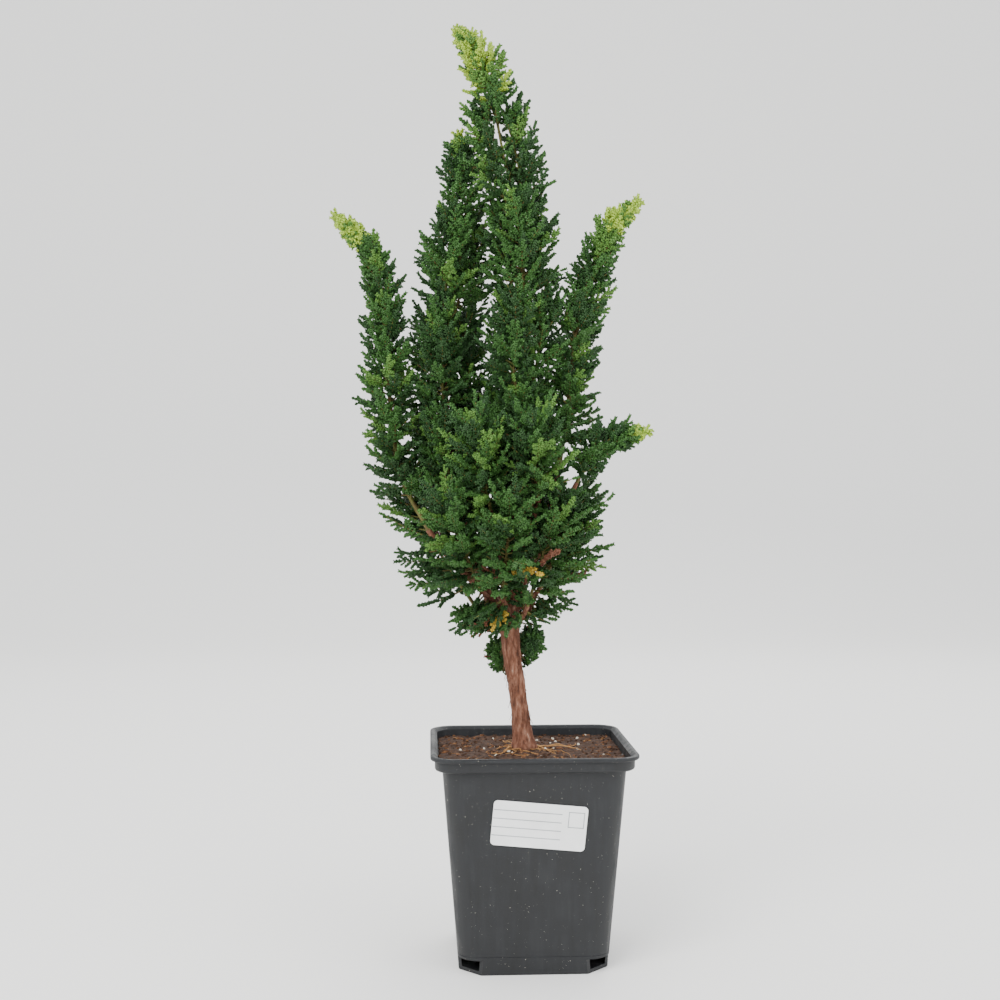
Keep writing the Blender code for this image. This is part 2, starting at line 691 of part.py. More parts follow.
def make_limb_objects(limbs, bark):
    made = []
    for name, limb in limbs.items():
        bm = bmesh.new()
        loft(bm, limb_rings(limb))
        obj = add_object(name, bm, bark, math.radians(60))
        cutters = []
        for earlier in made:
            bm = bmesh.new()
            loft(bm, limb_rings(limbs[earlier], GAP))
            cutters.append(add_object("limb_cutter", bm))
        if cutters:
            apply_boolean(obj, "DIFFERENCE", cutters)
            keep_largest_body(obj)
        made.append(name)


def build():
    reset_scene()
    make_pot()
    make_soil()
    make_label()
    bark = material("bark", (0.13, 0.060, 0.038), 0.85)
    leaf = material("scale_foliage", (0.030, 0.075, 0.026), 0.6)
    limbs = make_limbs()
    make_limb_objects(limbs, bark)
    masses = make_masses(limbs)
    space = Space(limbs, masses)
    for owner, mass in enumerate(masses):
        make_mass(mass, owner, space, limbs, leaf)


build()
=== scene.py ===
"""Looks of a sekka hinoki cypress bonsai in its square nursery pot.

Metres, +Z up, the origin in the middle of the pot's flat underside, the plant's front towards -Y.
Limbs and masses follow the same named sizes as the solids. Every mass is grown again here as
sprays of knobby twiglets that leave its stem by the golden angle and stop at the mass's own space.
"""

import math
import random

import bmesh
import bpy
import numpy as np
from mathutils import Euler, Matrix, Vector, noise
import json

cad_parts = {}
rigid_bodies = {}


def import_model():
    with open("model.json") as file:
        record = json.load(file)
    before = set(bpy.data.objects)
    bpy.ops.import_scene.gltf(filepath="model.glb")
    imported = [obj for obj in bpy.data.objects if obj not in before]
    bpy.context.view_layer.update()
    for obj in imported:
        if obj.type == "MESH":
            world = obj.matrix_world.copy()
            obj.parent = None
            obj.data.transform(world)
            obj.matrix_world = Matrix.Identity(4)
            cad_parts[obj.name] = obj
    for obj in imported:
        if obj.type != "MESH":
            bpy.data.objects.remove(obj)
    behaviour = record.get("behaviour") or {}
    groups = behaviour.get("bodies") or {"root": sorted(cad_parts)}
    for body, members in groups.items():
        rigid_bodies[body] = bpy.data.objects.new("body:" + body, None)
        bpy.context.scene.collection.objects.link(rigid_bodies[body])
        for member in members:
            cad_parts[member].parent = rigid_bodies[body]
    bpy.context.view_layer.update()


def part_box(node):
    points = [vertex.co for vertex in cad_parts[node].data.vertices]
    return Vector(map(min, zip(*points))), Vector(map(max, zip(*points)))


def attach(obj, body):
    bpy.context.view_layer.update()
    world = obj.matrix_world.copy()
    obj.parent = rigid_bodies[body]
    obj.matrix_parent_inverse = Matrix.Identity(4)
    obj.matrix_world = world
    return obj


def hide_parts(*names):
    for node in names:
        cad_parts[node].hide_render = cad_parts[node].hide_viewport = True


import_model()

# Pot and soil: the frame gives the lip's half width and both heights
pot_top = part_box("pot")[1]
soil_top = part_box("soil")[1]
GAP = 0.0003
POT_HEIGHT = pot_top.z
LIP_HALF = pot_top.x
LIP_DEPTH = 0.0022
BAND_HALF = LIP_HALF - 0.0023
BAND_DEPTH = 0.0078
BODY_TOP_HALF = 0.0487
BODY_FOOT_HALF = 0.0398
RIM_CORNER = 0.0140
BODY_CORNER = 0.0120
WALL = 0.0017
FLOOR = 0.0020
CORNER_STEPS = 14
DRAIN_HEIGHT = 0.0080
FOOT_LINE = 0.0097
FOOT_LINE_DEPTH = 0.00025
GROUND = soil_top.z
SOIL_EDGE = GROUND - 0.0014
SOIL_HALF = BAND_HALF - WALL - 0.0007
SOIL_CORNER = RIM_CORNER - 0.0043
SOIL_SKIRT = 0.0018
SOIL_STEPS = 110
MOUND_RADIUS = 0.0200
CALM_RADIUS = 0.0090
LUMP_HEIGHT = 0.0011
LUMPS_PER_METRE = 140
CALM_LUMPS = 0.3

# Crumbs on the soil: material, size, flatness, number per square metre, least and most scale,
# tilt in radians and number of forms
CRUMBS = {
    "bark_chips": ("chip", 0.0011, 0.45, 26000, 0.6, 1.7, 0.7, 5),
    "peat_crumbs": ("mix", 0.0008, 0.80, 52000, 0.5, 1.6, 1.5, 4),
    "perlite_bits": ("perlite", 0.0009, 0.85, 3600, 0.6, 1.5, 1.5, 3),
    "fibre_bits": ("fibre", 0.0030, 0.05, 5200, 0.5, 1.6, 0.4, 3),
}
FIBRE_SLIMNESS = 0.12

# Blank sticker on the pot's front
LABEL_SIZE = (0.0495, 0.0238)
LABEL_CORNER = 0.0022
LABEL_THICKNESS = 0.0004
LABEL_LIFT = GAP + 0.00005
LABEL_MIDDLE = (0.0017, 0.0801)
LABEL_TURN = math.radians(-5.2)
LABEL_CORNER_STEPS = 7
RULE_LENGTH = 0.0360
RULE_MIDDLE = -0.0065
RULE_HEIGHTS = (0.0070, 0.0025, -0.0020, -0.0065)
RULE_THICKNESS = 0.0004
BOX_MIDDLE = (0.0190, 0.0045)
BOX_SIDE = 0.0080
INK_DEPTH = 0.0001
INK_RISE = 0.00008

# Trunk girth and root flare
FORK_HEIGHT = 0.1760
WAIST_RADIUS = 0.0047
FORK_RADIUS = 0.0052
TRUNK_TIP_RADIUS = 0.0007
FLARE = 0.0021
FLARE_HEIGHT = 0.0060
FLARE_LOBES = 5
LOBE_DEPTH = 0.35
YOUNG_BARK_FROM = 0.3450
BARK_STEP = 0.0012
TRUNK_SIDES = 44
BOUGH_SIDES = 20

# Relief of the bark: strips and knots per metre, and their depth as a share of the radius
BARK_STRIPS = Vector((900, 900, 160))
BARK_KNOTS = 260
STRIP_DEPTH = 0.085
KNOT_DEPTH = 0.05

# Shreds of bark: how many, and the least and most of each size
SHREDS = 70
SHRED_HEIGHTS = (0.122, 0.184)
SHRED_LENGTHS = (0.003, 0.008)
SHRED_WIDTHS = (0.0004, 0.0010)
SHRED_PEELS = (0.0006, 0.0022)
SHRED_THICKNESS = 0.00018
SHRED_STEPS = 4

# Surface roots
ROOTS = 22
ROOT_STEPS = 14
ROOT_SIDES = 6
ROOT_START = 0.0035
ROOT_REACHES = (0.008, 0.034)
ROOT_RADII = (0.00022, 0.00055)
ROOT_ARCH = 0.0010
ROOT_JITTER = (-0.2, 0.2)
ROOT_WANDER = 0.5
ROOT_WAVE = 3.1

# Lower crown: the half-egg that its foliage fills
BALL_CENTRE = Vector((-0.0200, 0.0020, 0.2490))
BALL_RADII = Vector((0.0650, 0.0560, 0.0690))
BALL_SLACK = 1.07
SIDE_BOUGHS = 8
SIDE_BOUGH_TURN = 34

# Stems of the masses that climb round the two main stems
PLUME_HEIGHT = 0.057
PLUME_FRONDS = 9
KNEE_SHARE = 0.30
KNEE_OFFSET = 0.80

# Sprays: sizes in metres, angles in radians, and lengths, rises and tapers as shares
GOLDEN_ANGLE = math.pi * (3 - math.sqrt(5))
SPRAYS_PER_FROND = 5.4
SPRAY_MARGIN = 0.0004
LIMB_MARGIN = 0.0006
SPRAY_STEPS = 9
FEWEST_POINTS = 5
LEAN_JITTER = (-0.25, 0.2)
TURN_JITTER = (-0.35, 0.35)
SPRAY_ROLLS = (-0.9, 0.9)
SPRAY_LENGTHS = (0.78, 1.06)
SPRAY_RISES = (0.02, 0.22)
CLOSING = 0.30
LONG_SHOOT_CLOSING = 0.80
TWIG_RADIUS = 0.00055
TWIG_TAPER = 0.6
TWIG_SIDES = 4

# Twiglets: the part of a spray that carries them, how they open, and the knobby forms they take
TWIGLET_SPACING = 0.0030
TWIGLET_LENGTH = 0.0068
TWIGLET_RADIUS = 0.00118
TWIGLET_REACH = 0.0030
FEATHERED_FROM = 0.20
FEATHERED_LENGTH = 0.78
COUNTED_LENGTH = 0.82
FEWEST_PAIRS = 3
OPEN_DEGREES = (42, 66)
CLOSER_AT_TIP = 18
TWIGLET_LIFTS = (-0.35, 0.35)
TWIGLET_SIZES = (0.75, 1.1)
SIZE_AT_FOOT = 1.05
SMALLER_AT_TIP = 0.40
END_TWIGLET_SIZES = (0.55, 0.8)
SCALE_PAIRS = 6
SCALE_SIZE = 1.15
SCALE_SIZES = (0.9, 1.12)
SCALE_TURNS = (-0.25, 0.25)
# Bend and taper of each form
TWIGLET_FORMS = ((0.0, 0.05), (0.22, 0.15), (-0.18, 0.0))
# Core of a twiglet: share of its length and of its radius
CORE_RINGS = ((0.0, 0.5), (0.5, 0.75), (1.0, 0.62))
# One scale: its back, side, tip, other side and crown, along, across and out from its middle
SCALE_POINTS = ((-0.95, 0, 0.20), (0, 0.95, 0.35), (0.90, 0, 0.80), (0, -0.95, 0.35), (0.25, 0, 1.30))

# Whorls of new growth at the tip of a long shoot
SHOOT_STEP = 0.0016
SHOOT_WHORLS = 4
WHORL_TWIGLETS = 4
WHORL_TURN = 1.6
WHORL_SIZES = (0.5, 0.8)

# Sprays on the boughs of the lower crown: on whose, how many, and along what share
BOUGH_FOLIAGE = ("side_", "front_", "back_")
BOUGH_SPRAYS = 46
BOUGH_SHARE = 0.85
SEED = 20261

# Camera that was fitted to the pot in the photograph
CAMERA_PLACE = Vector((-0.0553, -0.7622, 0.2496))
CAMERA_YAW = -0.051
CAMERA_LENS = 49.64
SENSOR_WIDTH = 36.0

# Floor that runs up into a wall behind, and what the lights aim at
STAGE_HALF_WIDTH = 4.0
FLOOR_FRONT = -2.0
FLOOR_BACK = 1.6
WALL_TURN = 1.2
WALL_TURN_STEPS = 12
WALL_TOP = 3.5
LIGHT_AIM = Vector((0, 0, 0.22))
SKY_STRENGTH = 1.6

# Lamps: place, watts and size
LAMPS = {
    "key": ((-0.9, -1.3, 1.5), 42, 1.1),
    "fill": ((1.3, -1.0, 0.8), 12, 1.4),
    "back": ((0.3, 1.2, 1.4), 16, 1.2),
}


def srgb(hex_colour):
    """Linear colour with full alpha from an sRGB hex value."""
    channels = [int(hex_colour[i:i + 2], 16) / 255 for i in (1, 3, 5)]
    linear = [c / 12.92 if c <= 0.04045 else ((c + 0.055) / 1.055) ** 2.4 for c in channels]
    return (*linear, 1.0)


def add_node(tree, kind, settings=None, **links):
    """Adds a node. Settings are its properties, links its inputs, by name or as i and a number."""
    node = tree.nodes.new(kind)
    for key, value in (settings or {}).items():
        setattr(node, key, value)
    for key, value in links.items():
        by_number = key[0] == "i" and key[1:].isdigit()
        socket = node.inputs[int(key[1:]) if by_number else key.replace("_", " ")]
        if isinstance(value, bpy.types.NodeSocket):
            tree.links.new(value, socket)
        else:
            socket.default_value = value
    return node


def new_material(name, roughness, **sockets):
    """A Principled material whose plain values sit on the shader's own sockets."""
    made = bpy.data.materials.new(name)
    made.use_nodes = True
    shader = made.node_tree.nodes["Principled BSDF"]
    shader.inputs["Roughness"].default_value = roughness
    for key, value in sockets.items():
        shader.inputs[key.replace("_", " ")].default_value = value
    return made, made.node_tree, shader


def ramp(tree, factor, stops):
    """A colour ramp over a factor, from pairs of place and hex colour."""
    node = add_node(tree, "ShaderNodeValToRGB", i0=factor)
    while len(node.color_ramp.elements) < len(stops):
        node.color_ramp.elements.new(0.5)
    for element, (place, colour) in zip(node.color_ramp.elements, stops):
        element.position = place
        element.color = srgb(colour)
    return node.outputs["Color"]


def polypropylene_material():
    """Moulded polypropylene: matte charcoal, with patches of dust and dried splashes."""
    made, tree, shader = new_material("moulded_polypropylene", 0.55, IOR=1.49, Specular_IOR_Level=0.4)
    place = add_node(tree, "ShaderNodeTexCoord").outputs["Object"]
    # Dust drifts in soft patches about 20 mm across
    drift = add_node(tree, "ShaderNodeTexNoise", Vector=place, Scale=55.0, Detail=6.0, Roughness=0.62)
    streak_place = add_node(tree, "ShaderNodeMapping", Vector=place, Scale=(420.0, 420.0, 22.0))
    # Runs of dried water about 2 mm wide
    streaks = add_node(tree, "ShaderNodeTexNoise", Vector=streak_place.outputs[0], Scale=1.0, Detail=3.0)
    both = add_node(tree, "ShaderNodeMath", {"operation": "MULTIPLY"},
                    i0=drift.outputs["Fac"], i1=streaks.outputs["Fac"])
    base = ramp(tree, both.outputs[0], [(0.14, "#131415"), (0.27, "#1a1b1d"), (0.40, "#252627"),
                                        (0.55, "#403d38")])
    # Specks of lime and grit under 1 mm
    grit = add_node(tree, "ShaderNodeTexNoise", Vector=place, Scale=1300.0, Detail=2.0)
    specks = add_node(tree, "ShaderNodeMapRange", i0=grit.outputs["Fac"], i1=0.735, i2=0.77)
    mixed = add_node(tree, "ShaderNodeMix", {"data_type": "RGBA"}, i0=specks.outputs[0], i6=base,
                     i7=srgb("#b9b3a6"))
    tree.links.new(mixed.outputs[2], shader.inputs["Base Color"])
    rough = add_node(tree, "ShaderNodeMapRange", i0=both.outputs[0], i1=0.15, i2=0.5, i3=0.42, i4=0.85)
    tree.links.new(rough.outputs[0], shader.inputs["Roughness"])
    # Grain of the mould, drawn about 1 mm coarse so that it shows
    grain = add_node(tree, "ShaderNodeTexNoise", Vector=place, Scale=900.0, Detail=3.0)
    bump = add_node(tree, "ShaderNodeBump", Strength=0.25, Distance=0.0002, Height=grain.outputs["Fac"])
    tree.links.new(bump.outputs[0], shader.inputs["Normal"])
    return made


def mottled_material(name, roughness, stops, scale, stretch=(1, 1, 1), depth=0.0003, strength=0.6):
    """A matte surface: one noise gives its colour and bump, and scale is its patches per metre."""
    made, tree, shader = new_material(name, roughness, Specular_IOR_Level=0.3)
    place = add_node(tree, "ShaderNodeTexCoord").outputs["Object"]
    mapping = add_node(tree, "ShaderNodeMapping", Vector=place, Scale=stretch)
    cloud = add_node(tree, "ShaderNodeTexNoise", Vector=mapping.outputs[0], Scale=scale, Detail=7.0,
                     Roughness=0.65)
    tree.links.new(ramp(tree, cloud.outputs["Fac"], stops), shader.inputs["Base Color"])
    bump = add_node(tree, "ShaderNodeBump", Strength=strength, Distance=depth,
                    Height=cloud.outputs["Fac"])
    tree.links.new(bump.outputs[0], shader.inputs["Normal"])
    return made


def scale_leaf_material(name, dark, light):
    """Scale leaves of cypress: waxy and matte, a little lighter in patches about 1.4 mm across."""
    return mottled_material(name, 0.55, [(0.35, dark), (0.65, light)], 700.0, depth=0.0002,
                            strength=0.35)


MATERIALS = {
    "pot": polypropylene_material(),
    # Peat and composted bark: almost black and damp, in crumbs about 2 mm across
    "mix": mottled_material("peat_and_bark_mix", 0.95, [(0.3, "#1d120c"), (0.5, "#382417"),
                                                        (0.7, "#5a3d28")], 450.0, depth=0.0012),
    # Composted bark in dry red-brown flakes, paler where they broke
    "chip": mottled_material("composted_bark_chips", 0.9, [(0.3, "#352014"), (0.55, "#664126"),
                                                           (0.75, "#946e48")], 300.0),
    # Expanded perlite: chalky grains, dulled by the damp mix
    "perlite": mottled_material("expanded_perlite", 0.95, [(0.3, "#a89c88"), (0.6, "#d8d0c0")], 500.0),
    # Coir and fine roots: matte straw-brown threads
    "fibre": mottled_material("coir_and_root_fibre", 0.85, [(0.3, "#7a4f2c"), (0.7, "#b98d57")], 300.0),
    # Thin red-brown cypress bark that lifts in vertical strips about 2 mm wide
    "bark": mottled_material("cypress_bark", 0.88, [(0.30, "#3a2219"), (0.48, "#68412f"),
                                                    (0.62, "#875f4c"), (0.76, "#b09580")],
                             520.0, stretch=(1, 1, 0.25), depth=0.0007, strength=0.9),
    # Young cypress stem: still smooth, green that turns brown
    "young_bark": mottled_material("young_cypress_stem", 0.7, [(0.3, "#54381f"), (0.5, "#5d5a2c"),
                                                               (0.7, "#6f7436")], 260.0,
                                   stretch=(1, 1, 0.3)),
    # Coated paper: almost white, with a faint sheen
    "paper": mottled_material("coated_paper", 0.4, [(0.3, "#e9e9e6"), (0.7, "#f4f4f2")], 90.0,
                              depth=0.00005, strength=0.1),
    # Pale grey ink: flat on the paper
    "print": mottled_material("pale_grey_ink", 0.5, [(0.3, "#8f9295"), (0.7, "#a2a5a8")], 90.0,
                              depth=0.00005, strength=0.1),
    "dark": scale_leaf_material("scale_leaf_dark", "#1e3a18", "#325428"),
    "mid": scale_leaf_material("scale_leaf_mid", "#2d5020", "#446c31"),
    "bright": scale_leaf_material("scale_leaf_bright", "#426a2a", "#648a3c"),
    "tip": scale_leaf_material("scale_leaf_new_growth", "#86a637", "#b4cc50"),
    "dead": scale_leaf_material("scale_leaf_dead", "#5b3524", "#8a5a44"),
    "ochre": scale_leaf_material("scale_leaf_fading", "#8f7422", "#c9a842"),
}


def mesh_object(name, vertices, faces, material, smooth=True):
    """A piece at the origin from plain lists of points and faces."""
    mesh = bpy.data.meshes.new(name)
    mesh.from_pydata([tuple(v) for v in vertices], [], faces)
    mesh.materials.append(material)
    if smooth:
        mesh.shade_smooth()
    obj = bpy.data.objects.new(name, mesh)
    bpy.context.scene.collection.objects.link(obj)
    return obj


def hand_in(piece, slot, *nodes):
    """Rides a piece on the one body and hides the nodes that it stands for. Its slot is not used."""
    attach(piece, "root")
    if nodes:
        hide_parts(*nodes)


def drop(obj):
    """Takes a helper object out again."""
    bpy.data.objects.remove(obj, do_unlink=True)


def loft(rings):
    """Vertices and faces of rings skinned into one capped body."""
    count = len(rings[0])
    vertices = [point for ring in rings for point in ring]
    faces = []
    for level in range(len(rings) - 1):
        low = level * count
        for i in range(count):
            j = (i + 1) % count
            faces.append((low + i, low + j, low + count + j, low + count + i))
    faces.append(tuple(range(count))[::-1])
    faces.append(tuple(range(len(vertices) - count, len(vertices))))
    return vertices, faces


def lofts(bodies):
    """Vertices and faces of several bodies of rings as one mesh."""
    vertices = []
    faces = []
    for rings in bodies:
        first = len(vertices)
        points, sides = loft(rings)
        vertices += points
        faces += [tuple(first + corner for corner in side) for side in sides]
    return vertices, faces


def rounded_outline(half_width, half_depth, corner, steps):
    """Points of a rectangle with round corners, anticlockwise."""
    points = []
    for quarter in range(4):
        middle = math.radians(45 + 90 * quarter)
        x = math.copysign(half_width - corner, math.cos(middle))
        y = math.copysign(half_depth - corner, math.sin(middle))
        for step in range(steps + 1):
            angle = math.radians(90 * quarter + 90 * step / steps)
            points.append((x + corner * math.cos(angle), y + corner * math.sin(angle)))
    return points


def pot_ring(half, corner, height):
    """One level of the pot."""
    return [Vector((x, y, height)) for x, y in rounded_outline(half, half, corner, CORNER_STEPS)]


def body_half(height):
    """Half width of the pot's outside at a height below the band."""
    share = height / (POT_HEIGHT - BAND_DEPTH)
    return BODY_FOOT_HALF + (BODY_TOP_HALF - BODY_FOOT_HALF) * share


def open_foot_corners(pot):
    """Cuts the pot's four foot corners open."""
    # How far out the chord across each round corner lies: what is beyond it goes
    reach = (2 * BODY_FOOT_HALF - BODY_CORNER) / math.sqrt(2)
    cutters = []
    for quarter in range(4):
        bm = bmesh.new()
        bmesh.ops.create_cube(bm, size=1)
        turn = Matrix.Rotation(math.radians(45 + 90 * quarter), 4, "Z")
        size = Matrix.Diagonal((2 * BODY_CORNER, 4 * BODY_CORNER, 2 * DRAIN_HEIGHT, 1))
        bmesh.ops.transform(bm, matrix=turn @ Matrix.Translation((reach + BODY_CORNER, 0, 0)) @ size,
                            verts=bm.verts)
        mesh = bpy.data.meshes.new("drain")
        bm.to_mesh(mesh)
        bm.free()
        cutter = bpy.data.objects.new("drain", mesh)
        bpy.context.scene.collection.objects.link(cutter)
        pot.modifiers.new("drain", "BOOLEAN").object = cutter
        cutters.append(cutter)
    graph = bpy.context.evaluated_depsgraph_get()
    cut = bpy.data.meshes.new_from_object(pot.evaluated_get(graph))
    pot.modifiers.clear()
    pot.data = cut
    for cutter in cutters:
        drop(cutter)


def make_pot():
    """Thin-walled square pot: body with its foot line, soft band, rolled lip and open foot corners."""
    band_foot = POT_HEIGHT - BAND_DEPTH
    lip_foot = POT_HEIGHT - LIP_DEPTH
    line = FOOT_LINE_DEPTH
    # Half width, corner radius and height, up the outside, over the lip and down the inside
    levels = [
        (BODY_FOOT_HALF - 0.0006, BODY_CORNER - 0.0006, 0),
        (BODY_FOOT_HALF - 0.0001, BODY_CORNER - 0.0001, 0.0003),
        (body_half(0.0008), BODY_CORNER, 0.0008),
        (body_half(FOOT_LINE - line), BODY_CORNER, FOOT_LINE - line),
        (body_half(FOOT_LINE) - line, BODY_CORNER - line, FOOT_LINE),
        (body_half(FOOT_LINE + line), BODY_CORNER, FOOT_LINE + line),
        (body_half(band_foot), BODY_CORNER, band_foot),
        (BAND_HALF - 0.0012, RIM_CORNER - 0.0032, band_foot),
        (BAND_HALF - 0.0005, RIM_CORNER - 0.0025, band_foot + 0.0004),
        (BAND_HALF - 0.0001, RIM_CORNER - 0.0021, band_foot + 0.0012),
        (BAND_HALF, RIM_CORNER - 0.0020, lip_foot - 0.0003),
        (BAND_HALF + 0.0004, RIM_CORNER - 0.0016, lip_foot),
        (LIP_HALF - 0.0005, RIM_CORNER - 0.0005, lip_foot),
        (LIP_HALF - 0.0001, RIM_CORNER - 0.0001, lip_foot + 0.0004),
        (LIP_HALF, RIM_CORNER, POT_HEIGHT - 0.0010),
        (LIP_HALF - 0.0002, RIM_CORNER - 0.0002, POT_HEIGHT - 0.0003),
        (LIP_HALF - 0.0007, RIM_CORNER - 0.0007, POT_HEIGHT),
        (LIP_HALF - 0.0020, RIM_CORNER - 0.0020, POT_HEIGHT),
        (LIP_HALF - 0.0026, RIM_CORNER - 0.0026, POT_HEIGHT - 0.0004),
        (BAND_HALF - WALL, RIM_CORNER - 0.0036, POT_HEIGHT - 0.0018),
        (BAND_HALF - WALL - 0.0003, RIM_CORNER - 0.0038, band_foot + WALL),
        (body_half(band_foot) - WALL, BODY_CORNER - WALL, band_foot + 0.4 * WALL),
        (body_half(FLOOR) - WALL, BODY_CORNER - WALL, FLOOR),
    ]
    vertices, faces = loft([pot_ring(*level) for level in levels])
    pot = mesh_object("nursery_pot", vertices, faces, MATERIALS["pot"])
    open_foot_corners(pot)
    pot.data.shade_smooth()
    pot.data.set_sharp_from_angle(angle=math.radians(35))
    hand_in(pot, "black_plastic", "pot")


def label_point(x, y, height):
    """A place on the sticker, counted from its middle, on the pot's sloping front."""
    lean = math.atan2(BODY_TOP_HALF - BODY_FOOT_HALF, POT_HEIGHT - BAND_DEPTH)
    across, up = LABEL_MIDDLE
    outward = Vector((0, -math.cos(lean), -math.sin(lean)))
    middle = Vector((across, -body_half(up), up)) + outward * LABEL_LIFT
    turn = (Matrix.Translation(middle) @ Matrix.Rotation(math.pi / 2 + lean, 4, "X")
            @ Matrix.Rotation(LABEL_TURN, 4, "Z"))
    return turn @ Vector((x, y, height))


def make_label():
    """Blank sticker with round corners, a few plain ruled lines and an empty box."""
    outline = rounded_outline(LABEL_SIZE[0] / 2, LABEL_SIZE[1] / 2, LABEL_CORNER, LABEL_CORNER_STEPS)
    # Height of each level and how far it is drawn in
    levels = [(0, 1.0), (LABEL_THICKNESS * 0.8, 1.0), (LABEL_THICKNESS, 0.998)]
    vertices, faces = loft([[label_point(x * size, y * size, height) for x, y in outline]
                            for height, size in levels])
    hand_in(mesh_object("blank_label", vertices, faces, MATERIALS["paper"], smooth=False),
            "white_paper", "label")
    line = RULE_THICKNESS
    x, y = BOX_MIDDLE
    strips = [(RULE_MIDDLE, height, RULE_LENGTH, line) for height in RULE_HEIGHTS]
    strips += [(x, side * BOX_SIDE / 2 + y, BOX_SIDE + line, line) for side in (-1, 1)]
    strips += [(x + side * BOX_SIDE / 2, y, line, BOX_SIDE + line) for side in (-1, 1)]
    bodies = [[[label_point(x + dx * width / 2, y + dy * height / 2, level)
                for dx, dy in ((-1, -1), (1, -1), (1, 1), (-1, 1))]
               for level in (LABEL_THICKNESS - INK_DEPTH, LABEL_THICKNESS + INK_RISE)]
              for x, y, width, height in strips]
    vertices, faces = lofts(bodies)
    hand_in(mesh_object("ruled_lines", vertices, faces, MATERIALS["print"], smooth=False),
            "white_paper")


def soil_height(x, y):
    """Soil level: a low mound at the trunk, and lumps of about 7 mm that calm down there."""
    reach = Vector((x - trunk_middle.x, y - trunk_middle.y)).length
    mound = math.exp(-(reach / MOUND_RADIUS) ** 2)
    place = Vector((x * LUMPS_PER_METRE, y * LUMPS_PER_METRE, 0))
    lumps = noise.fractal(place, 1.0, 2.0, 4)
    calm = 1 - math.exp(-(reach / CALM_RADIUS) ** 2)
    height = LUMP_HEIGHT * lumps * (CALM_LUMPS + (1 - CALM_LUMPS) * calm)
    return SOIL_EDGE + (GROUND + GAP - SOIL_EDGE) * mound + height


def make_soil():
    """Uneven top of the mix, closed by a skirt inside the pot. Returns its open top sheet."""
    steps = SOIL_STEPS
    straight = SOIL_HALF - SOIL_CORNER
    vertices = []
    for row in range(steps + 1):
        for column in range(steps + 1):
            x = SOIL_HALF * (2 * column / steps - 1)
            y = SOIL_HALF * (2 * row / steps - 1)
            # Beyond both straight sides the square grid is drawn in to the round corner
            over = Vector((abs(x) - straight, abs(y) - straight))
            if over.x > 0 and over.y > 0:
                over *= max(over.x, over.y) / over.length
                x = math.copysign(straight + over.x, x)
                y = math.copysign(straight + over.y, y)
            vertices.append(Vector((x, y, soil_height(x, y))))
    side = steps + 1
    faces = [(r * side + c, r * side + c + 1, (r + 1) * side + c + 1, (r + 1) * side + c)
             for r in range(steps) for c in range(steps)]
    sheet = mesh_object("soil_sheet", vertices, faces, MATERIALS["mix"])
    rim = list(range(side)) + [r * side + steps for r in range(1, side)]
    rim += [steps * side + c for c in range(steps - 1, -1, -1)]
    rim += [r * side for r in range(steps - 1, 0, -1)]
    skirt = len(vertices)
    for index in rim:
        point = vertices[index]
        vertices.append(Vector((point.x, point.y, min(point.z, SOIL_EDGE) - SOIL_SKIRT)))
    whole = list(faces)
    for i in range(len(rim)):
        j = (i + 1) % len(rim)
        whole.append((rim[j], rim[i], skirt + i, skirt + j))
    whole.append(tuple(range(skirt, skirt + len(rim)))[::-1])
    soil = mesh_object("potting_mix", vertices, whole, MATERIALS["mix"])
    hand_in(soil, "potting_mix", "soil")
    return sheet


def chip_template(name, rng, size, squash, material):
    """A rough flat crumb of a few faces."""
    bm = bmesh.new()
    bmesh.ops.create_icosphere(bm, subdivisions=1, radius=1)
    # Each corner moves in or out, and the crumb is narrower than it is long
    for vert in bm.verts:
        vert.co *= rng.uniform(0.75, 1.15)
        vert.co.x *= size
        vert.co.y *= size * rng.uniform(0.5, 0.8)
        vert.co.z *= size * squash
    mesh = bpy.data.meshes.new(name)
    bm.to_mesh(mesh)
    bm.free()
    mesh.materials.append(material)
    return bpy.data.objects.new(name, mesh)


def new_tree(name, inputs):
    """A geometry node tree with named inputs, and the sockets that give them."""
    tree = bpy.data.node_groups.new(name, "GeometryNodeTree")
    tree.interface.new_socket("Geometry", in_out="OUTPUT", socket_type="NodeSocketGeometry")
    for label, kind in (("Geometry", "Geometry"), *inputs, ("Material", "Material")):
        tree.interface.new_socket(label, in_out="INPUT", socket_type=f"NodeSocket{kind}")
    return tree, tree.nodes.new("NodeGroupInput").outputs


def end_tree(tree, given, shape):
    """Ends a tree: its instances are made real and take the given material."""
    real = add_node(tree, "GeometryNodeRealizeInstances", Geometry=shape)
    skin = add_node(tree, "GeometryNodeSetMaterial", Geometry=real.outputs[0],
                    Material=given["Material"])
    tree.links.new(skin.outputs[0], tree.nodes.new("NodeGroupOutput").inputs[0])
    return tree


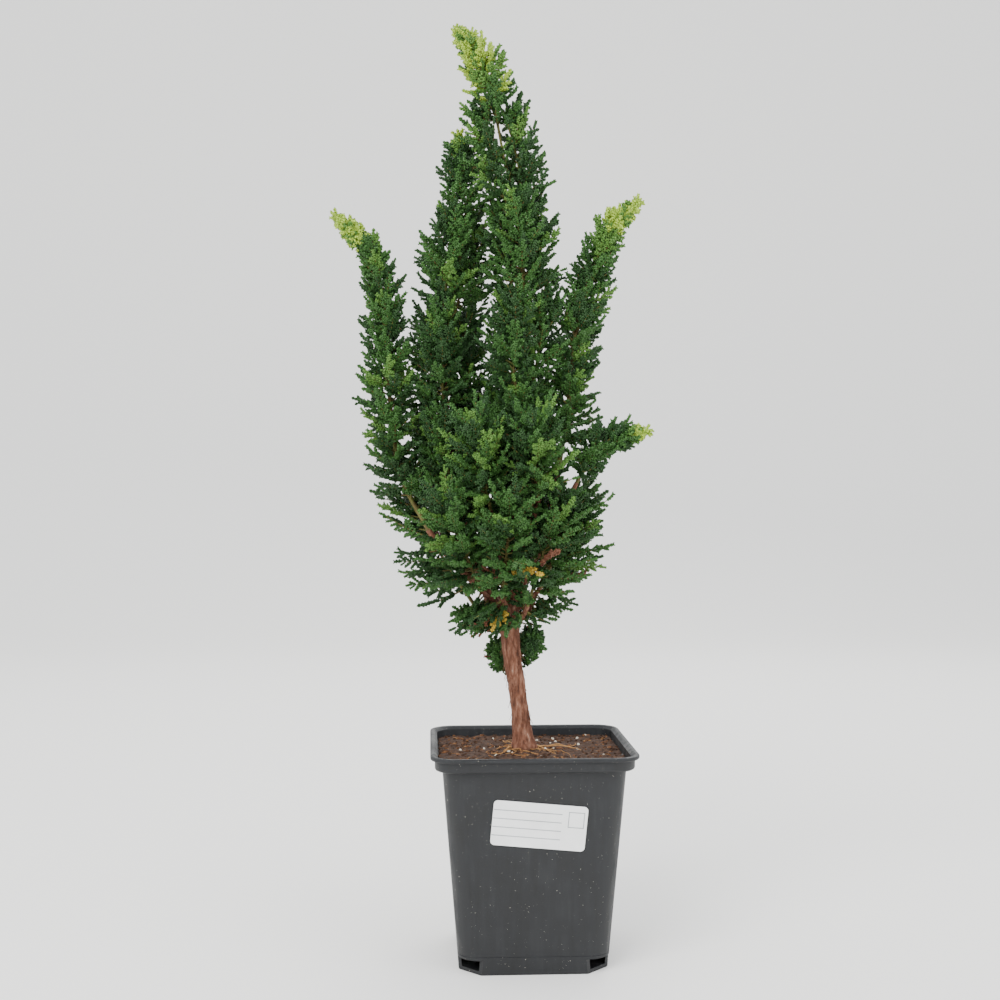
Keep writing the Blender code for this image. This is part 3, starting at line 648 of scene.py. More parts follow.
def scatter_tree():
    """Geometry Nodes: crumbs scattered over a sheet and turned at random."""
    tree, given = new_tree("scatter_crumbs", (
        ("Crumbs", "Collection"), ("Per square metre", "Float"), ("Seed", "Int"),
        ("Smallest", "Float"), ("Largest", "Float"), ("Tilt", "Float")))
    points = add_node(tree, "GeometryNodeDistributePointsOnFaces", Mesh=given["Geometry"],
                      Density=given["Per square metre"], Seed=given["Seed"])
    back = add_node(tree, "ShaderNodeMath", {"operation": "MULTIPLY"}, i0=given["Tilt"], i1=-1.0)
    low = add_node(tree, "ShaderNodeCombineXYZ", i0=back.outputs[0], i1=back.outputs[0], i2=0.0)
    high = add_node(tree, "ShaderNodeCombineXYZ", i0=given["Tilt"], i1=given["Tilt"],
                    i2=2 * math.pi)
    spin = add_node(tree, "FunctionNodeRandomValue", {"data_type": "FLOAT_VECTOR"},
                    i0=low.outputs[0], i1=high.outputs[0], Seed=given["Seed"])
    size = add_node(tree, "FunctionNodeRandomValue", {"data_type": "FLOAT"},
                    i2=given["Smallest"], i3=given["Largest"], Seed=given["Seed"])
    crumbs = add_node(tree, "GeometryNodeCollectionInfo", Collection=given["Crumbs"],
                      Separate_Children=True, Reset_Children=True)
    turned = add_node(tree, "FunctionNodeEulerToRotation", i0=spin.outputs[0])
    placed = add_node(tree, "GeometryNodeInstanceOnPoints", Points=points.outputs["Points"],
                      Instance=crumbs.outputs[0], Pick_Instance=True, Rotation=turned.outputs[0],
                      Scale=size.outputs[1])
    return end_tree(tree, given, placed.outputs[0])


def run_tree(tree, source, name, values):
    """Runs a node tree on a source object and returns the result as a plain piece."""
    step = source.modifiers.new("grow", "NODES")
    step.node_group = tree
    for socket in tree.interface.items_tree:
        if socket.in_out == "INPUT" and socket.name in values:
            step[socket.identifier] = values[socket.name]
    graph = bpy.context.evaluated_depsgraph_get()
    mesh = bpy.data.meshes.new_from_object(source.evaluated_get(graph))
    source.modifiers.clear()
    mesh.name = name
    piece = bpy.data.objects.new(name, mesh)
    bpy.context.scene.collection.objects.link(piece)
    return piece


def make_crumbs(sheet):
    """Bark chips, peat crumbs, perlite and fibres lying on the soil."""
    rng = random.Random(SEED)
    tree = scatter_tree()
    for name, values in CRUMBS.items():
        skin, size, squash, density, smallest, largest, tilt, forms = values
        crumbs = bpy.data.collections.new(name)
        for form in range(forms):
            crumb = chip_template(f"{name}_{form}", rng, size, squash, MATERIALS[skin])
            if name == "fibre_bits":
                crumb.data.transform(Matrix.Diagonal((1, FIBRE_SLIMNESS, 1, 1)))
            crumbs.objects.link(crumb)
        piece = run_tree(tree, sheet, name,
                         {"Crumbs": crumbs, "Per square metre": float(density), "Seed": len(name),
                          "Smallest": smallest, "Largest": largest, "Tilt": tilt,
                          "Material": MATERIALS[skin]})
        hand_in(piece, "potting_mix")
        for crumb in list(crumbs.objects):
            drop(crumb)
        bpy.data.collections.remove(crumbs)
    drop(sheet)


def smooth_path(points, spacing):
    """Even steps along one smooth curve through the points."""
    knots = [Vector(point) for point in points]
    knots = [2 * knots[0] - knots[1], *knots, 2 * knots[-1] - knots[-2]]
    steps = 12
    fine = []
    for a, b, c, d in zip(knots, knots[1:], knots[2:], knots[3:]):
        for k in range(steps):
            t = k / steps
            fine.append(0.5 * (2 * b + (c - a) * t + (2 * a - 5 * b + 4 * c - d) * t ** 2
                               + (3 * b - a - 3 * c + d) * t ** 3))
    fine.append(knots[-2])
    fine = np.array(fine)
    lengths = np.concatenate(([0], np.cumsum(np.linalg.norm(np.diff(fine, axis=0), axis=1))))
    count = max(2, round(lengths[-1] / spacing))
    even = np.linspace(0, lengths[-1], count + 1)
    return np.stack([np.interp(even, lengths, fine[:, k]) for k in range(3)], axis=1)


class Shoot:
    """A tapering limb or stem: a path with a radius at each point."""

    def __init__(self, name, points, root_radius, tip_radius, spacing, taper=1.0):
        self.name = name
        self.path = smooth_path(points, spacing)
        share = np.linspace(0, 1, len(self.path))
        self.radii = tip_radius + (root_radius - tip_radius) * (1 - share) ** taper

    def at(self, share):
        """Point, direction and radius at a share of the length."""
        place = share * (len(self.path) - 1)
        index = min(int(place), len(self.path) - 2)
        rest = place - index
        low, high = self.path[index], self.path[index + 1]
        point = Vector(low + (high - low) * rest)
        radius = self.radii[index] + (self.radii[index + 1] - self.radii[index]) * rest
        return point, Vector(high - low).normalized(), float(radius)

    def share_at_height(self, height):
        return float(np.interp(height, self.path[:, 2], np.linspace(0, 1, len(self.path))))


def sideways(direction, angle):
    """A unit vector square to the direction, at an angle round it counted from the front."""
    front = Vector((0, -1, 0)) if abs(direction.y) < 0.9 else Vector((0, 0, 1))
    across = (front - direction * front.dot(direction)).normalized()
    return across * math.cos(angle) + direction.cross(across) * math.sin(angle)


def make_trunk_shape():
    """The leading stem, from the soil to near the top of the tree."""
    points = [(-0.0032, 0.0000, GROUND + GAP), (-0.0066, 0.0004, 0.1444), (-0.0107, 0.0000, 0.1720),
              (-0.0098, -0.0010, 0.2160), (-0.0086, -0.0030, 0.2780), (-0.0034, -0.0040, 0.3500),
              (-0.0059, -0.0036, 0.4000), (-0.0150, -0.0030, 0.4410), (-0.0185, -0.0026, 0.4620)]
    trunk = Shoot("trunk", points, FORK_RADIUS, TRUNK_TIP_RADIUS, 0.0120)
    for i, height in enumerate(trunk.path[:, 2]):
        if height < FORK_HEIGHT:
            share = (height - GROUND) / (FORK_HEIGHT - GROUND)
            radius = WAIST_RADIUS + (FORK_RADIUS - WAIST_RADIUS) * (2 * share - 1) ** 2
        else:
            share = (height - FORK_HEIGHT) / (points[-1][2] - FORK_HEIGHT)
            radius = TRUNK_TIP_RADIUS + (FORK_RADIUS - TRUNK_TIP_RADIUS) * (1 - share) ** 2
        trunk.radii[i] = radius
    return trunk


def make_limbs():
    """The trunk and every bough, as shoots: from the limb each leaves to where it enters its mass."""
    trunk = make_trunk_shape()
    limbs = {"trunk": trunk}

    def bough(name, leaves_at, points, root_radius, tip_radius, taper=1.0, spacing=0.0110):
        start, _, _ = trunk.at(trunk.share_at_height(leaves_at))
        limbs[name] = Shoot(name, [start, *points], root_radius, tip_radius, spacing, taper)

    bough("second_stem", 0.1730,
          [(-0.0190, 0.0050, 0.1890), (-0.0290, 0.0080, 0.2165), (-0.0400, 0.0100, 0.2560),
           (-0.0465, 0.0100, 0.3010), (-0.0450, 0.0090, 0.3400), (-0.0390, 0.0080, 0.3800),
           (-0.0365, 0.0070, 0.4080)],
          0.0038, 0.0008, taper=1.3, spacing=0.0140)
    bough("left_arm_bough", 0.1900,
          [(-0.0240, -0.0060, 0.2000), (-0.0400, -0.0050, 0.2130), (-0.0560, -0.0010, 0.2330)],
          0.0028, 0.0016)
    bough("right_arm_bough", 0.1940,
          [(0.0010, 0.0020, 0.2120), (0.0100, 0.0040, 0.2400), (0.0160, 0.0030, 0.2640)],
          0.0026, 0.0016)
    bough("horn_bough", 0.2030,
          [(0.0030, -0.0080, 0.2180), (0.0170, -0.0110, 0.2430), (0.0250, -0.0110, 0.2590)],
          0.0020, 0.0012)
    middle = BALL_CENTRE.x / 2
    for side, name in ((-1, "left"), (1, "right")):
        bough(f"front_bough_{name}", 0.2090 + 0.0030 * side,
              [(middle + 0.0070 * side, -0.0145, 0.2250 + 0.003 * side),
               (middle + 0.0130 * side, -0.0275, 0.2470 + 0.003 * side)], 0.0022, 0.0013)
        bough(f"back_bough_{name}", 0.2030 + 0.0035 * side,
              [(middle + 0.0080 * side, 0.0145, 0.2210 + 0.003 * side),
               (middle + 0.0120 * side, 0.0275, 0.2510 + 0.003 * side)], 0.0022, 0.0013)
    for i in range(SIDE_BOUGHS):
        angle = math.radians(SIDE_BOUGH_TURN + 360 * i / SIDE_BOUGHS)
        foot = 0.1790 + 0.0045 * (i * 2 % 3)
        start, _, _ = trunk.at(trunk.share_at_height(foot))
        outward = Vector((math.cos(angle), math.sin(angle), 0))
        bough(f"side_bough_{i + 1}", foot,
              [start + outward * 0.0100 + Vector((0, 0, 0.0060)),
               start + outward * 0.0190 + Vector((-0.0020, 0, 0.0130))],
              0.0021, 0.0012, spacing=0.0080)
    return limbs


class Mass:
    """One mass of foliage: its stem, the length of its sprays, their count and their lean."""

    def __init__(self, name, limb, points, reach, fronds, lean=(72, 36), stem=0.0010, first=0.12,
                 low=False):
        self.name = name
        self.limb = limb
        self.stem = Shoot(name, points, stem, 0.45 * stem, 0.0100)
        self.reach = reach
        self.fronds = fronds
        self.lean = lean
        self.first = first
        self.low = low


def plume_masses(masses, limb, prefix, foot, places, offset, reach):
    """Masses that climb round a stem from one level, at the given angles from the front."""
    for place, angle in places.items():
        start, direction, _ = limb.at(limb.share_at_height(foot))
        end, _, _ = limb.at(limb.share_at_height(foot + PLUME_HEIGHT))
        outward = sideways(direction, math.radians(angle))
        knee = start.lerp(end, KNEE_SHARE) + outward * offset * KNEE_OFFSET
        masses.append(Mass(f"{prefix}_{place}", limb.name, [start, knee, end + outward * offset],
                           reach, PLUME_FRONDS))


def make_plumes(masses, limbs):
    """The masses round the two main stems, level by level."""
    three = {"front": 0, "right": 118, "back": 240}
    turned = {"front": -25, "right": 90, "back": 205}
    pair = {"left": -80, "right": 100}
    other = {"front": -20, "left": -130, "back": 130}
    slim = {"front": -40, "back": 150}
    # Each level: its foot, the places of its masses, how far out they end, and their reach
    leader_levels = ((0.248, three, 0.0110, 0.0225), (0.302, turned, 0.0105, 0.0225),
                     (0.354, three, 0.0085, 0.0210), (0.404, pair, 0.0070, 0.0210))
    second_levels = ((0.240, other, 0.0130, 0.0235), (0.294, other, 0.0110, 0.0225),
                     (0.348, slim, 0.0090, 0.0220))
    for prefix, limb_name, levels in (("leader", "trunk", leader_levels),
                                      ("second", "second_stem", second_levels)):
        for level, values in enumerate(levels, start=1):
            plume_masses(masses, limbs[limb_name], f"{prefix}_{level}", *values)


def make_masses(limbs):
    """Every mass of foliage: up the two main stems, and then out along the boughs."""
    masses = []
    make_plumes(masses, limbs)
    trunk = limbs["trunk"]

    def on_tip(name, limb_name, points, reach, fronds, **more):
        limb = limbs[limb_name]
        start, _, radius = limb.at(0.96)
        masses.append(Mass(name, limb_name, [start, *points], reach, fronds,
                           stem=0.9 * radius, **more))

    def on_trunk(name, foot, points, reach, fronds, **more):
        start, _, _ = trunk.at(trunk.share_at_height(foot))
        masses.append(Mass(name, "trunk", [start, *points], reach, fronds, **more))

    on_tip("leader_tip", "trunk", [(-0.0240, -0.0022, 0.4830), (-0.0375, -0.0020, 0.5045)],
           0.0190, 11, lean=(74, 16))
    on_tip("second_tip", "second_stem", [(-0.0370, 0.0070, 0.4300), (-0.0385, 0.0070, 0.4470)],
           0.0190, 8, lean=(74, 24))
    on_tip("left_arm", "left_arm_bough",
           [(-0.0715, 0.0010, 0.2640), (-0.0775, 0.0020, 0.3080), (-0.0805, 0.0020, 0.3550),
            (-0.0865, 0.0010, 0.3840), (-0.1030, 0.0000, 0.4020)], 0.0200, 29, lean=(76, 34))
    on_tip("right_arm", "right_arm_bough",
           [(0.0215, 0.0020, 0.3000), (0.0255, 0.0010, 0.3400), (0.0350, 0.0000, 0.3740),
            (0.0430, -0.0010, 0.3980), (0.0560, -0.0020, 0.4110)], 0.0205, 26, lean=(76, 34))
    on_tip("horn", "horn_bough", [(0.0370, -0.0100, 0.2790), (0.0580, -0.0090, 0.2860)],
           0.0160, 9, lean=(70, 20))
    on_tip("front_left", "front_bough_left", [(-0.0310, -0.0370, 0.2860)], 0.0260, 10)
    on_tip("front_right", "front_bough_right", [(-0.0010, -0.0380, 0.2870)], 0.0260, 10)
    on_tip("back_left", "back_bough_left", [(-0.0310, 0.0340, 0.3020)], 0.0260, 10)
    on_tip("back_right", "back_bough_right", [(0.0050, 0.0330, 0.3060)], 0.0260, 10)
    on_trunk("tuft_left", 0.1540, [(-0.0120, 0.0090, 0.1590), (-0.0160, 0.0120, 0.1650)],
             0.0105, 7, lean=(90, 30), first=0.4, low=True)
    on_trunk("tuft_right", 0.1600, [(-0.0010, 0.0080, 0.1660), (0.0020, 0.0110, 0.1710)],
             0.0100, 7, lean=(90, 30), first=0.4, low=True)
    for i in range(SIDE_BOUGHS):
        limb = limbs[f"side_bough_{i + 1}"]
        tip, _, _ = limb.at(1.0)
        outward = Vector((tip.x - BALL_CENTRE.x, tip.y - BALL_CENTRE.y, 0)).normalized()
        reach = Vector((outward.x * BALL_RADII.x, outward.y * BALL_RADII.y, 0)) * 0.70
        end = Vector((BALL_CENTRE.x, BALL_CENTRE.y, 0.2480)) + reach
        on_tip(f"side_{i + 1}", limb.name, [tip.lerp(end, 0.5) + Vector((0, 0, -0.002)), end],
               0.0300, 11, lean=(88, 40))
    return masses


def distances(points, starts, ends):
    """Distance from each point to each straight piece."""
    span = ends - starts
    offset = points[:, None, :] - starts[None, :, :]
    share = np.einsum("pmk,mk->pm", offset, span) / np.einsum("mk,mk->m", span, span)
    return np.linalg.norm(offset - np.clip(share, 0, 1)[:, :, None] * span, axis=2)


class Space:
    """Tells which points lie in a mass's own space and clear of every limb."""

    def __init__(self, limbs, masses):
        self.limb_starts = np.concatenate([limb.path[:-1] for limb in limbs.values()])
        self.limb_ends = np.concatenate([limb.path[1:] for limb in limbs.values()])
        self.limb_radii = np.concatenate([limb.radii[:-1] for limb in limbs.values()])
        self.starts = np.concatenate([mass.stem.path[:-1] for mass in masses])
        self.ends = np.concatenate([mass.stem.path[1:] for mass in masses])
        self.low = [mass.low for mass in masses]
        self.owners = np.concatenate([[i] * (len(mass.stem.path) - 1)
                                      for i, mass in enumerate(masses)])

    def free(self, points, owner):
        """For each point: in the mass's own cell and egg, and clear of every limb."""
        to_stems = distances(points, self.starts, self.ends)
        mine = to_stems[:, self.owners == owner].min(axis=1)
        others = to_stems[:, self.owners != owner].min(axis=1)
        below = points - np.array(BALL_CENTRE)
        below[:, 2] = np.minimum(below[:, 2], 0)
        inside = np.linalg.norm(below / np.array(BALL_RADII), axis=1) < BALL_SLACK
        high = (points[:, 2] > BALL_CENTRE.z) | inside | self.low[owner]
        to_limbs = distances(points, self.limb_starts, self.limb_ends) - self.limb_radii
        return (mine < others + SPRAY_MARGIN) & high & (to_limbs.min(axis=1) > LIMB_MARGIN)


# Shoots that end in new growth, and the share of their length where it starts
YOUNG_FROM = {"leader_tip": 0.25, "left_arm": 0.88, "right_arm": 0.84, "horn": 0.85, "second_tip": 0.92}
YOUNG_BLEND = 0.15

# Shares of the sprays that take each colour. Dead and fading ones hang low in the crown only.
NEW_GROWTH_SHARE = 0.75
BLEND_SHARE = 0.5
FADING_BELOW = 0.240
DEAD_SHARE = 0.032
FADING_SHARE = 0.055
BRIGHT_SHARE = 0.05
MID_SHARE = 0.55
# Painted light: the masses that face the lamps, at the front and at the leader's foot, take more bright
# sprays than the rest
SUNNY_MASSES = ("front", "leader_1")
SUNNY_MORE = 0.16
SHADY_MORE = 0.04


def spray_colour(mass, along, place, rng):
    """Deals out one plain colour to a spray: new growth at the ends of the long shoots."""
    draw = rng.random()
    if mass.name in YOUNG_FROM:
        young = YOUNG_FROM[mass.name]
        if along > young:
            return "tip" if draw < NEW_GROWTH_SHARE else "bright"
        if along > young - YOUNG_BLEND:
            return "bright" if draw < BLEND_SHARE else "mid"
    if place.z < FADING_BELOW and draw < FADING_SHARE:
        return "dead" if draw < DEAD_SHARE else "ochre"
    # Painted light: sunny masses take a larger share of bright sprays, shady ones a smaller share
    more = SUNNY_MORE if mass.name.startswith(SUNNY_MASSES) else SHADY_MORE
    if draw < BRIGHT_SHARE + more:
        return "bright"
    return "mid" if draw < MID_SHARE + more else "dark"


class Growth:
    """What grows in one region: paths of twigs, and the place, turn and size of every twiglet."""

    def __init__(self):
        self.twigs = []
        self.twiglets = {}
        self.nodes = []

    def add_twiglet(self, colour, place, direction, spin, size):
        turn = direction.to_track_quat("X", "Z").to_matrix() @ Matrix.Rotation(spin, 3, "X")
        self.twiglets.setdefault(colour, []).append((place, turn.to_euler(), size))


def spray_line(mass, root, direction, along, turn, rng):
    """One spray before it is cut: its points, and the side that its twiglets open to."""
    lean = math.radians(mass.lean[0] + (mass.lean[1] - mass.lean[0]) * along)
    lean += rng.uniform(*LEAN_JITTER)
    outward = sideways(direction, turn + rng.uniform(*TURN_JITTER))
    axis = direction * math.cos(lean) + outward * math.sin(lean)
    closing = LONG_SHOOT_CLOSING if mass.name in YOUNG_FROM else CLOSING
    length = mass.reach * rng.uniform(*SPRAY_LENGTHS) * (1 - closing * along ** 4) - TWIGLET_REACH
    side = axis.cross(direction).normalized()
    roll = rng.uniform(*SPRAY_ROLLS)
    side = side * math.cos(roll) + axis.cross(side) * math.sin(roll)
    rise = rng.uniform(*SPRAY_RISES) * length
    path = []
    for k in range(SPRAY_STEPS + 1):
        share = k / SPRAY_STEPS
        path.append(root + axis * length * share + Vector((0, 0, 1)) * rise * share ** 2)
    return path, side


def feather(path, side, colour, owner, space, growth, rng):
    """Pairs of twiglets along a cut spray, where their tips have room, and one at its end."""
    last = len(path) - 1
    grown = (path[-1] - path[0]).length
    pairs = max(FEWEST_PAIRS, round(grown * COUNTED_LENGTH / TWIGLET_SPACING))
    for j in range(pairs):
        share = FEATHERED_FROM + FEATHERED_LENGTH * (j + 0.5) / pairs
        low = min(int(share * last), last - 1)
        place = path[low].lerp(path[low + 1], share * last - low)
        ahead = (path[low + 1] - path[low]).normalized()
        lift = ahead.cross(side)
        for hand in (-1, 1):
            opening = math.radians(rng.uniform(*OPEN_DEGREES) - CLOSER_AT_TIP * share)
            way = ahead * math.cos(opening) + side * hand * math.sin(opening)
            way = (way + lift * rng.uniform(*TWIGLET_LIFTS)).normalized()
            size = rng.uniform(*TWIGLET_SIZES) * (SIZE_AT_FOOT - SMALLER_AT_TIP * share)
            end = place + way * TWIGLET_LENGTH * size
            if space.free(np.array([end]), owner)[0]:
                growth.add_twiglet(colour, place, way, rng.uniform(0, math.pi), size)
    growth.add_twiglet(colour, path[-1], (path[-1] - path[-2]).normalized(),
                       rng.uniform(0, math.pi), rng.uniform(*END_TWIGLET_SIZES))


def grow_mass(mass, owner, space, growth, bare_bough):
    """Sprays up the stem, and its bough's outer part, by the golden angle, cut where the space ends."""
    rng = random.Random(SEED + 7 * owner)
    growth.nodes.append(mass.name)
    stem_path = [Vector(point) for point in mass.stem.path]
    growth.twigs.append((stem_path, [float(r) for r in mass.stem.radii]))
    count = round(mass.fronds * SPRAYS_PER_FROND)
    on_bough = BOUGH_SPRAYS if bare_bough else 0
    for i in range(-on_bough, count):
        along = max(0.0, (i + 0.5) / count)
        if i < 0:
            root, direction, _ = bare_bough.at(1 + BOUGH_SHARE * i / on_bough)
        else:
            root, direction, _ = mass.stem.at(mass.first + (1 - mass.first) * along)
        path, side = spray_line(mass, root, direction, along, i * GOLDEN_ANGLE, rng)
        inside = space.free(np.array(path[2:]), owner)
        kept = 2 + (len(inside) if inside.all() else int(np.argmin(inside)))
        if kept < FEWEST_POINTS:
            continue
        path = path[:kept]
        colour = spray_colour(mass, along, path[-1], rng)
        radii = [TWIG_RADIUS * (1 - TWIG_TAPER * k / (kept - 1)) for k in range(kept)]
        growth.twigs.append((path, radii))
        feather(path, side, colour, owner, space, growth, rng)
    if mass.name in YOUNG_FROM:
        crown_shoot(mass, growth, rng)


def crown_shoot(mass, growth, rng):
    """The last few whorls of new growth, which carry a long shoot to its furthest tip."""
    end, ahead, _ = mass.stem.at(1.0)
    for whorl in range(SHOOT_WHORLS):
        place = end + ahead * SHOOT_STEP * whorl
        for k in range(WHORL_TWIGLETS):
            out = sideways(ahead, (whorl + k * WHORL_TURN) * GOLDEN_ANGLE)
            way = (ahead * 0.8 + out * 0.7).normalized()
            growth.add_twiglet("tip", place, way, rng.uniform(0, math.pi), rng.uniform(*WHORL_SIZES))


def twiglet_template(name, rng, bend, taper):
    """A knobby twiglet along +X: a slim core with pairs of blunt overlapping scales."""
    def core_at(x):
        return Vector((x, 0, bend * x * x / TWIGLET_LENGTH))

    rings = []
    for share, width in CORE_RINGS:
        centre = core_at(share * TWIGLET_LENGTH)
        rings.append([centre + Vector((0, math.cos(a), math.sin(a))) * TWIGLET_RADIUS * width
                      for a in (0.0, 2 * math.pi / 3, 4 * math.pi / 3)])
    vertices, faces = loft(rings)
    for pair in range(SCALE_PAIRS):
        share = (pair + 0.6) / SCALE_PAIRS
        centre = core_at(share * TWIGLET_LENGTH)
        size = TWIGLET_RADIUS * (SCALE_SIZE - taper * share) * rng.uniform(*SCALE_SIZES)
        for half in (0, math.pi):
            angle = half + (pair % 2) * math.pi / 2 + rng.uniform(*SCALE_TURNS)
            out = Vector((0, math.cos(angle), math.sin(angle)))
            across = Vector((0, -math.sin(angle), math.cos(angle)))
            low = len(vertices)
            for ahead, aside, away in SCALE_POINTS:
                offset = Vector((ahead, 0, 0)) + across * aside + out * away
                vertices.append(centre + offset * size)
            faces += [(low, low + 1, low + 4), (low + 1, low + 2, low + 4),
                      (low + 2, low + 3, low + 4), (low + 3, low, low + 4)]
    mesh = bpy.data.meshes.new(name)
    mesh.from_pydata([tuple(v) for v in vertices], [], faces)
    return bpy.data.objects.new(name, mesh)


def twiglet_tree():
    """Geometry Nodes: one twiglet on every point, by the point's own turn and size."""
    tree, given = new_tree("place_twiglets", (("Twiglets", "Collection"),))
    forms = add_node(tree, "GeometryNodeCollectionInfo", Collection=given["Twiglets"],
                     Separate_Children=True, Reset_Children=True)
    turn = add_node(tree, "GeometryNodeInputNamedAttribute", {"data_type": "FLOAT_VECTOR"}, Name="turn")
    size = add_node(tree, "GeometryNodeInputNamedAttribute", {"data_type": "FLOAT"}, Name="size")
    turned = add_node(tree, "FunctionNodeEulerToRotation", i0=turn.outputs[0])
    placed = add_node(tree, "GeometryNodeInstanceOnPoints", Points=given["Geometry"],
                      Instance=forms.outputs[0], Pick_Instance=True, Rotation=turned.outputs[0],
                      Scale=size.outputs[0])
    return end_tree(tree, given, placed.outputs[0])


def twig_tree():
    """Geometry Nodes: a round tube of the path's own radius along every path."""
    tree, given = new_tree("sweep_twigs", (("Sides", "Int"),))
    girth = add_node(tree, "GeometryNodeInputNamedAttribute", {"data_type": "FLOAT"}, Name="girth")
    path = add_node(tree, "GeometryNodeMeshToCurve", Mesh=given["Geometry"])
    ring = add_node(tree, "GeometryNodeCurvePrimitiveCircle", Resolution=given["Sides"], Radius=1.0)
    tube = add_node(tree, "GeometryNodeCurveToMesh", Curve=path.outputs[0],
                    Profile_Curve=ring.outputs[0], Scale=girth.outputs[0], Fill_Caps=True)
    return end_tree(tree, given, tube.outputs[0])


def run_on_points(tree, name, points, edges, attributes, inputs):
    """Runs a node tree on bare points that carry values of their own."""
    mesh = bpy.data.meshes.new("points")
    mesh.from_pydata([tuple(point) for point in points], edges, [])
    for label, kind, field, values in attributes:
        mesh.attributes.new(label, kind, "POINT").data.foreach_set(field, values)
    source = bpy.data.objects.new("points", mesh)
    bpy.context.scene.collection.objects.link(source)
    piece = run_tree(tree, source, name, inputs)
    drop(source)
    return piece


def sweep(tree, name, paths, sides, material):
    """One piece of tubes along the given paths of points and radii."""
    points = []
    edges = []
    girths = []
    for path, radii in paths:
        first = len(points)
        points.extend(path)
        girths.extend(radii)
        edges.extend((first + k, first + k + 1) for k in range(len(path) - 1))
    piece = run_on_points(tree, name, points, edges, [("girth", "FLOAT", "value", girths)],
                          {"Sides": sides, "Material": material})
    piece.data.shade_smooth()
    return piece


def place_twiglets(tree, name, twiglets, forms, material):
    """One piece of twiglets at the given places."""
    turns = [number for _, turn, _ in twiglets for number in turn]
    sizes = [size for _, _, size in twiglets]
    piece = run_on_points(tree, name, [place for place, _, _ in twiglets], [],
                          [("turn", "FLOAT_VECTOR", "vector", turns), ("size", "FLOAT", "value", sizes)],
                          {"Twiglets": forms, "Material": material})
    piece.data.shade_flat()
    return piece


# Regions of the crown, by how the names of their masses begin
REGIONS = {
    "leader": ("leader_1", "leader_2"),
    "leader_top": ("leader_3", "leader_4", "leader_tip"),
    "second": ("second_",),
    "left_arm": ("left_arm",),
    "right_arm": ("right_arm", "horn"),
    "middle": ("front_", "back_", "tuft_"),
    "skirt": ("side_",),
}


def make_foliage(limbs, tubes):
    """Grows every mass and turns each region's twigs and twiglets into pieces."""
    rng = random.Random(SEED)
    masses = make_masses(limbs)
    space = Space(limbs, masses)
    forms = bpy.data.collections.new("twiglets")
    for i, (bend, taper) in enumerate(TWIGLET_FORMS):
        forms.objects.link(twiglet_template(f"twiglet_{i}", rng, bend, taper))
    twiglets = twiglet_tree()
    for region, beginnings in REGIONS.items():
        growth = Growth()
        for owner, mass in enumerate(masses):
            if mass.name.startswith(beginnings):
                bough = limbs[mass.limb] if mass.name.startswith(BOUGH_FOLIAGE) else None
                grow_mass(mass, owner, space, growth, bough)
        twigs = sweep(tubes, f"twigs_{region}", growth.twigs, TWIG_SIDES, MATERIALS["young_bark"])
        hand_in(twigs, "bark", *growth.nodes)
        for colour, places in growth.twiglets.items():
            piece = place_twiglets(twiglets, f"foliage_{region}_{colour}", places, forms,
                                   MATERIALS[colour])
            hand_in(piece, "scale_foliage", *growth.nodes)
    for form in list(forms.objects):
        drop(form)
    bpy.data.collections.remove(forms)


def bark_mesh(limb, sides):
    """A limb with the relief of its bark: vertical strips, cracks, and the trunk's root flare."""
    length = float(np.linalg.norm(np.diff(limb.path, axis=0), axis=1).sum())
    count = max(4, round(length / BARK_STEP))
    across = None
    rings = []
    for k in range(count + 1):
        centre, tangent, radius = limb.at(k / count)
        if across is None:
            across = sideways(tangent, 0)
        across = (across - tangent * across.dot(tangent)).normalized()
        other = tangent.cross(across)
        above = centre.z - GROUND - GAP
        flare = FLARE * math.exp(-above / FLARE_HEIGHT) if limb.name == "trunk" else 0
        ring = []
        for s in range(sides):
            angle = 2 * math.pi * s / sides
            out = across * math.cos(angle) + other * math.sin(angle)
            place = centre + out * radius
            strips = noise.fractal(place * BARK_STRIPS, 0.9, 2.1, 3)
            knots = noise.noise(place * BARK_KNOTS)
            relief = radius * (STRIP_DEPTH * strips + KNOT_DEPTH * knots)
            lobe = 1 + LOBE_DEPTH * math.cos(FLARE_LOBES * angle)
            ring.append(centre + out * (radius + relief + flare * lobe))
        rings.append(ring)
    if limb.name == "trunk":
        for corner in rings[0]:
            corner.z = GROUND
    return loft(rings)


def make_wood(limbs):
    """The trunk and every bough with bark in relief."""
    for name, limb in limbs.items():
        vertices, faces = bark_mesh(limb, TRUNK_SIDES if name == "trunk" else BOUGH_SIDES)
        piece = mesh_object(f"bark_{name}", vertices, faces, MATERIALS["bark"])
        piece.data.materials.append(MATERIALS["young_bark"])
        for polygon in piece.data.polygons:
            polygon.material_index = int(polygon.center.z > YOUNG_BARK_FROM)
        hand_in(piece, "bark", name)


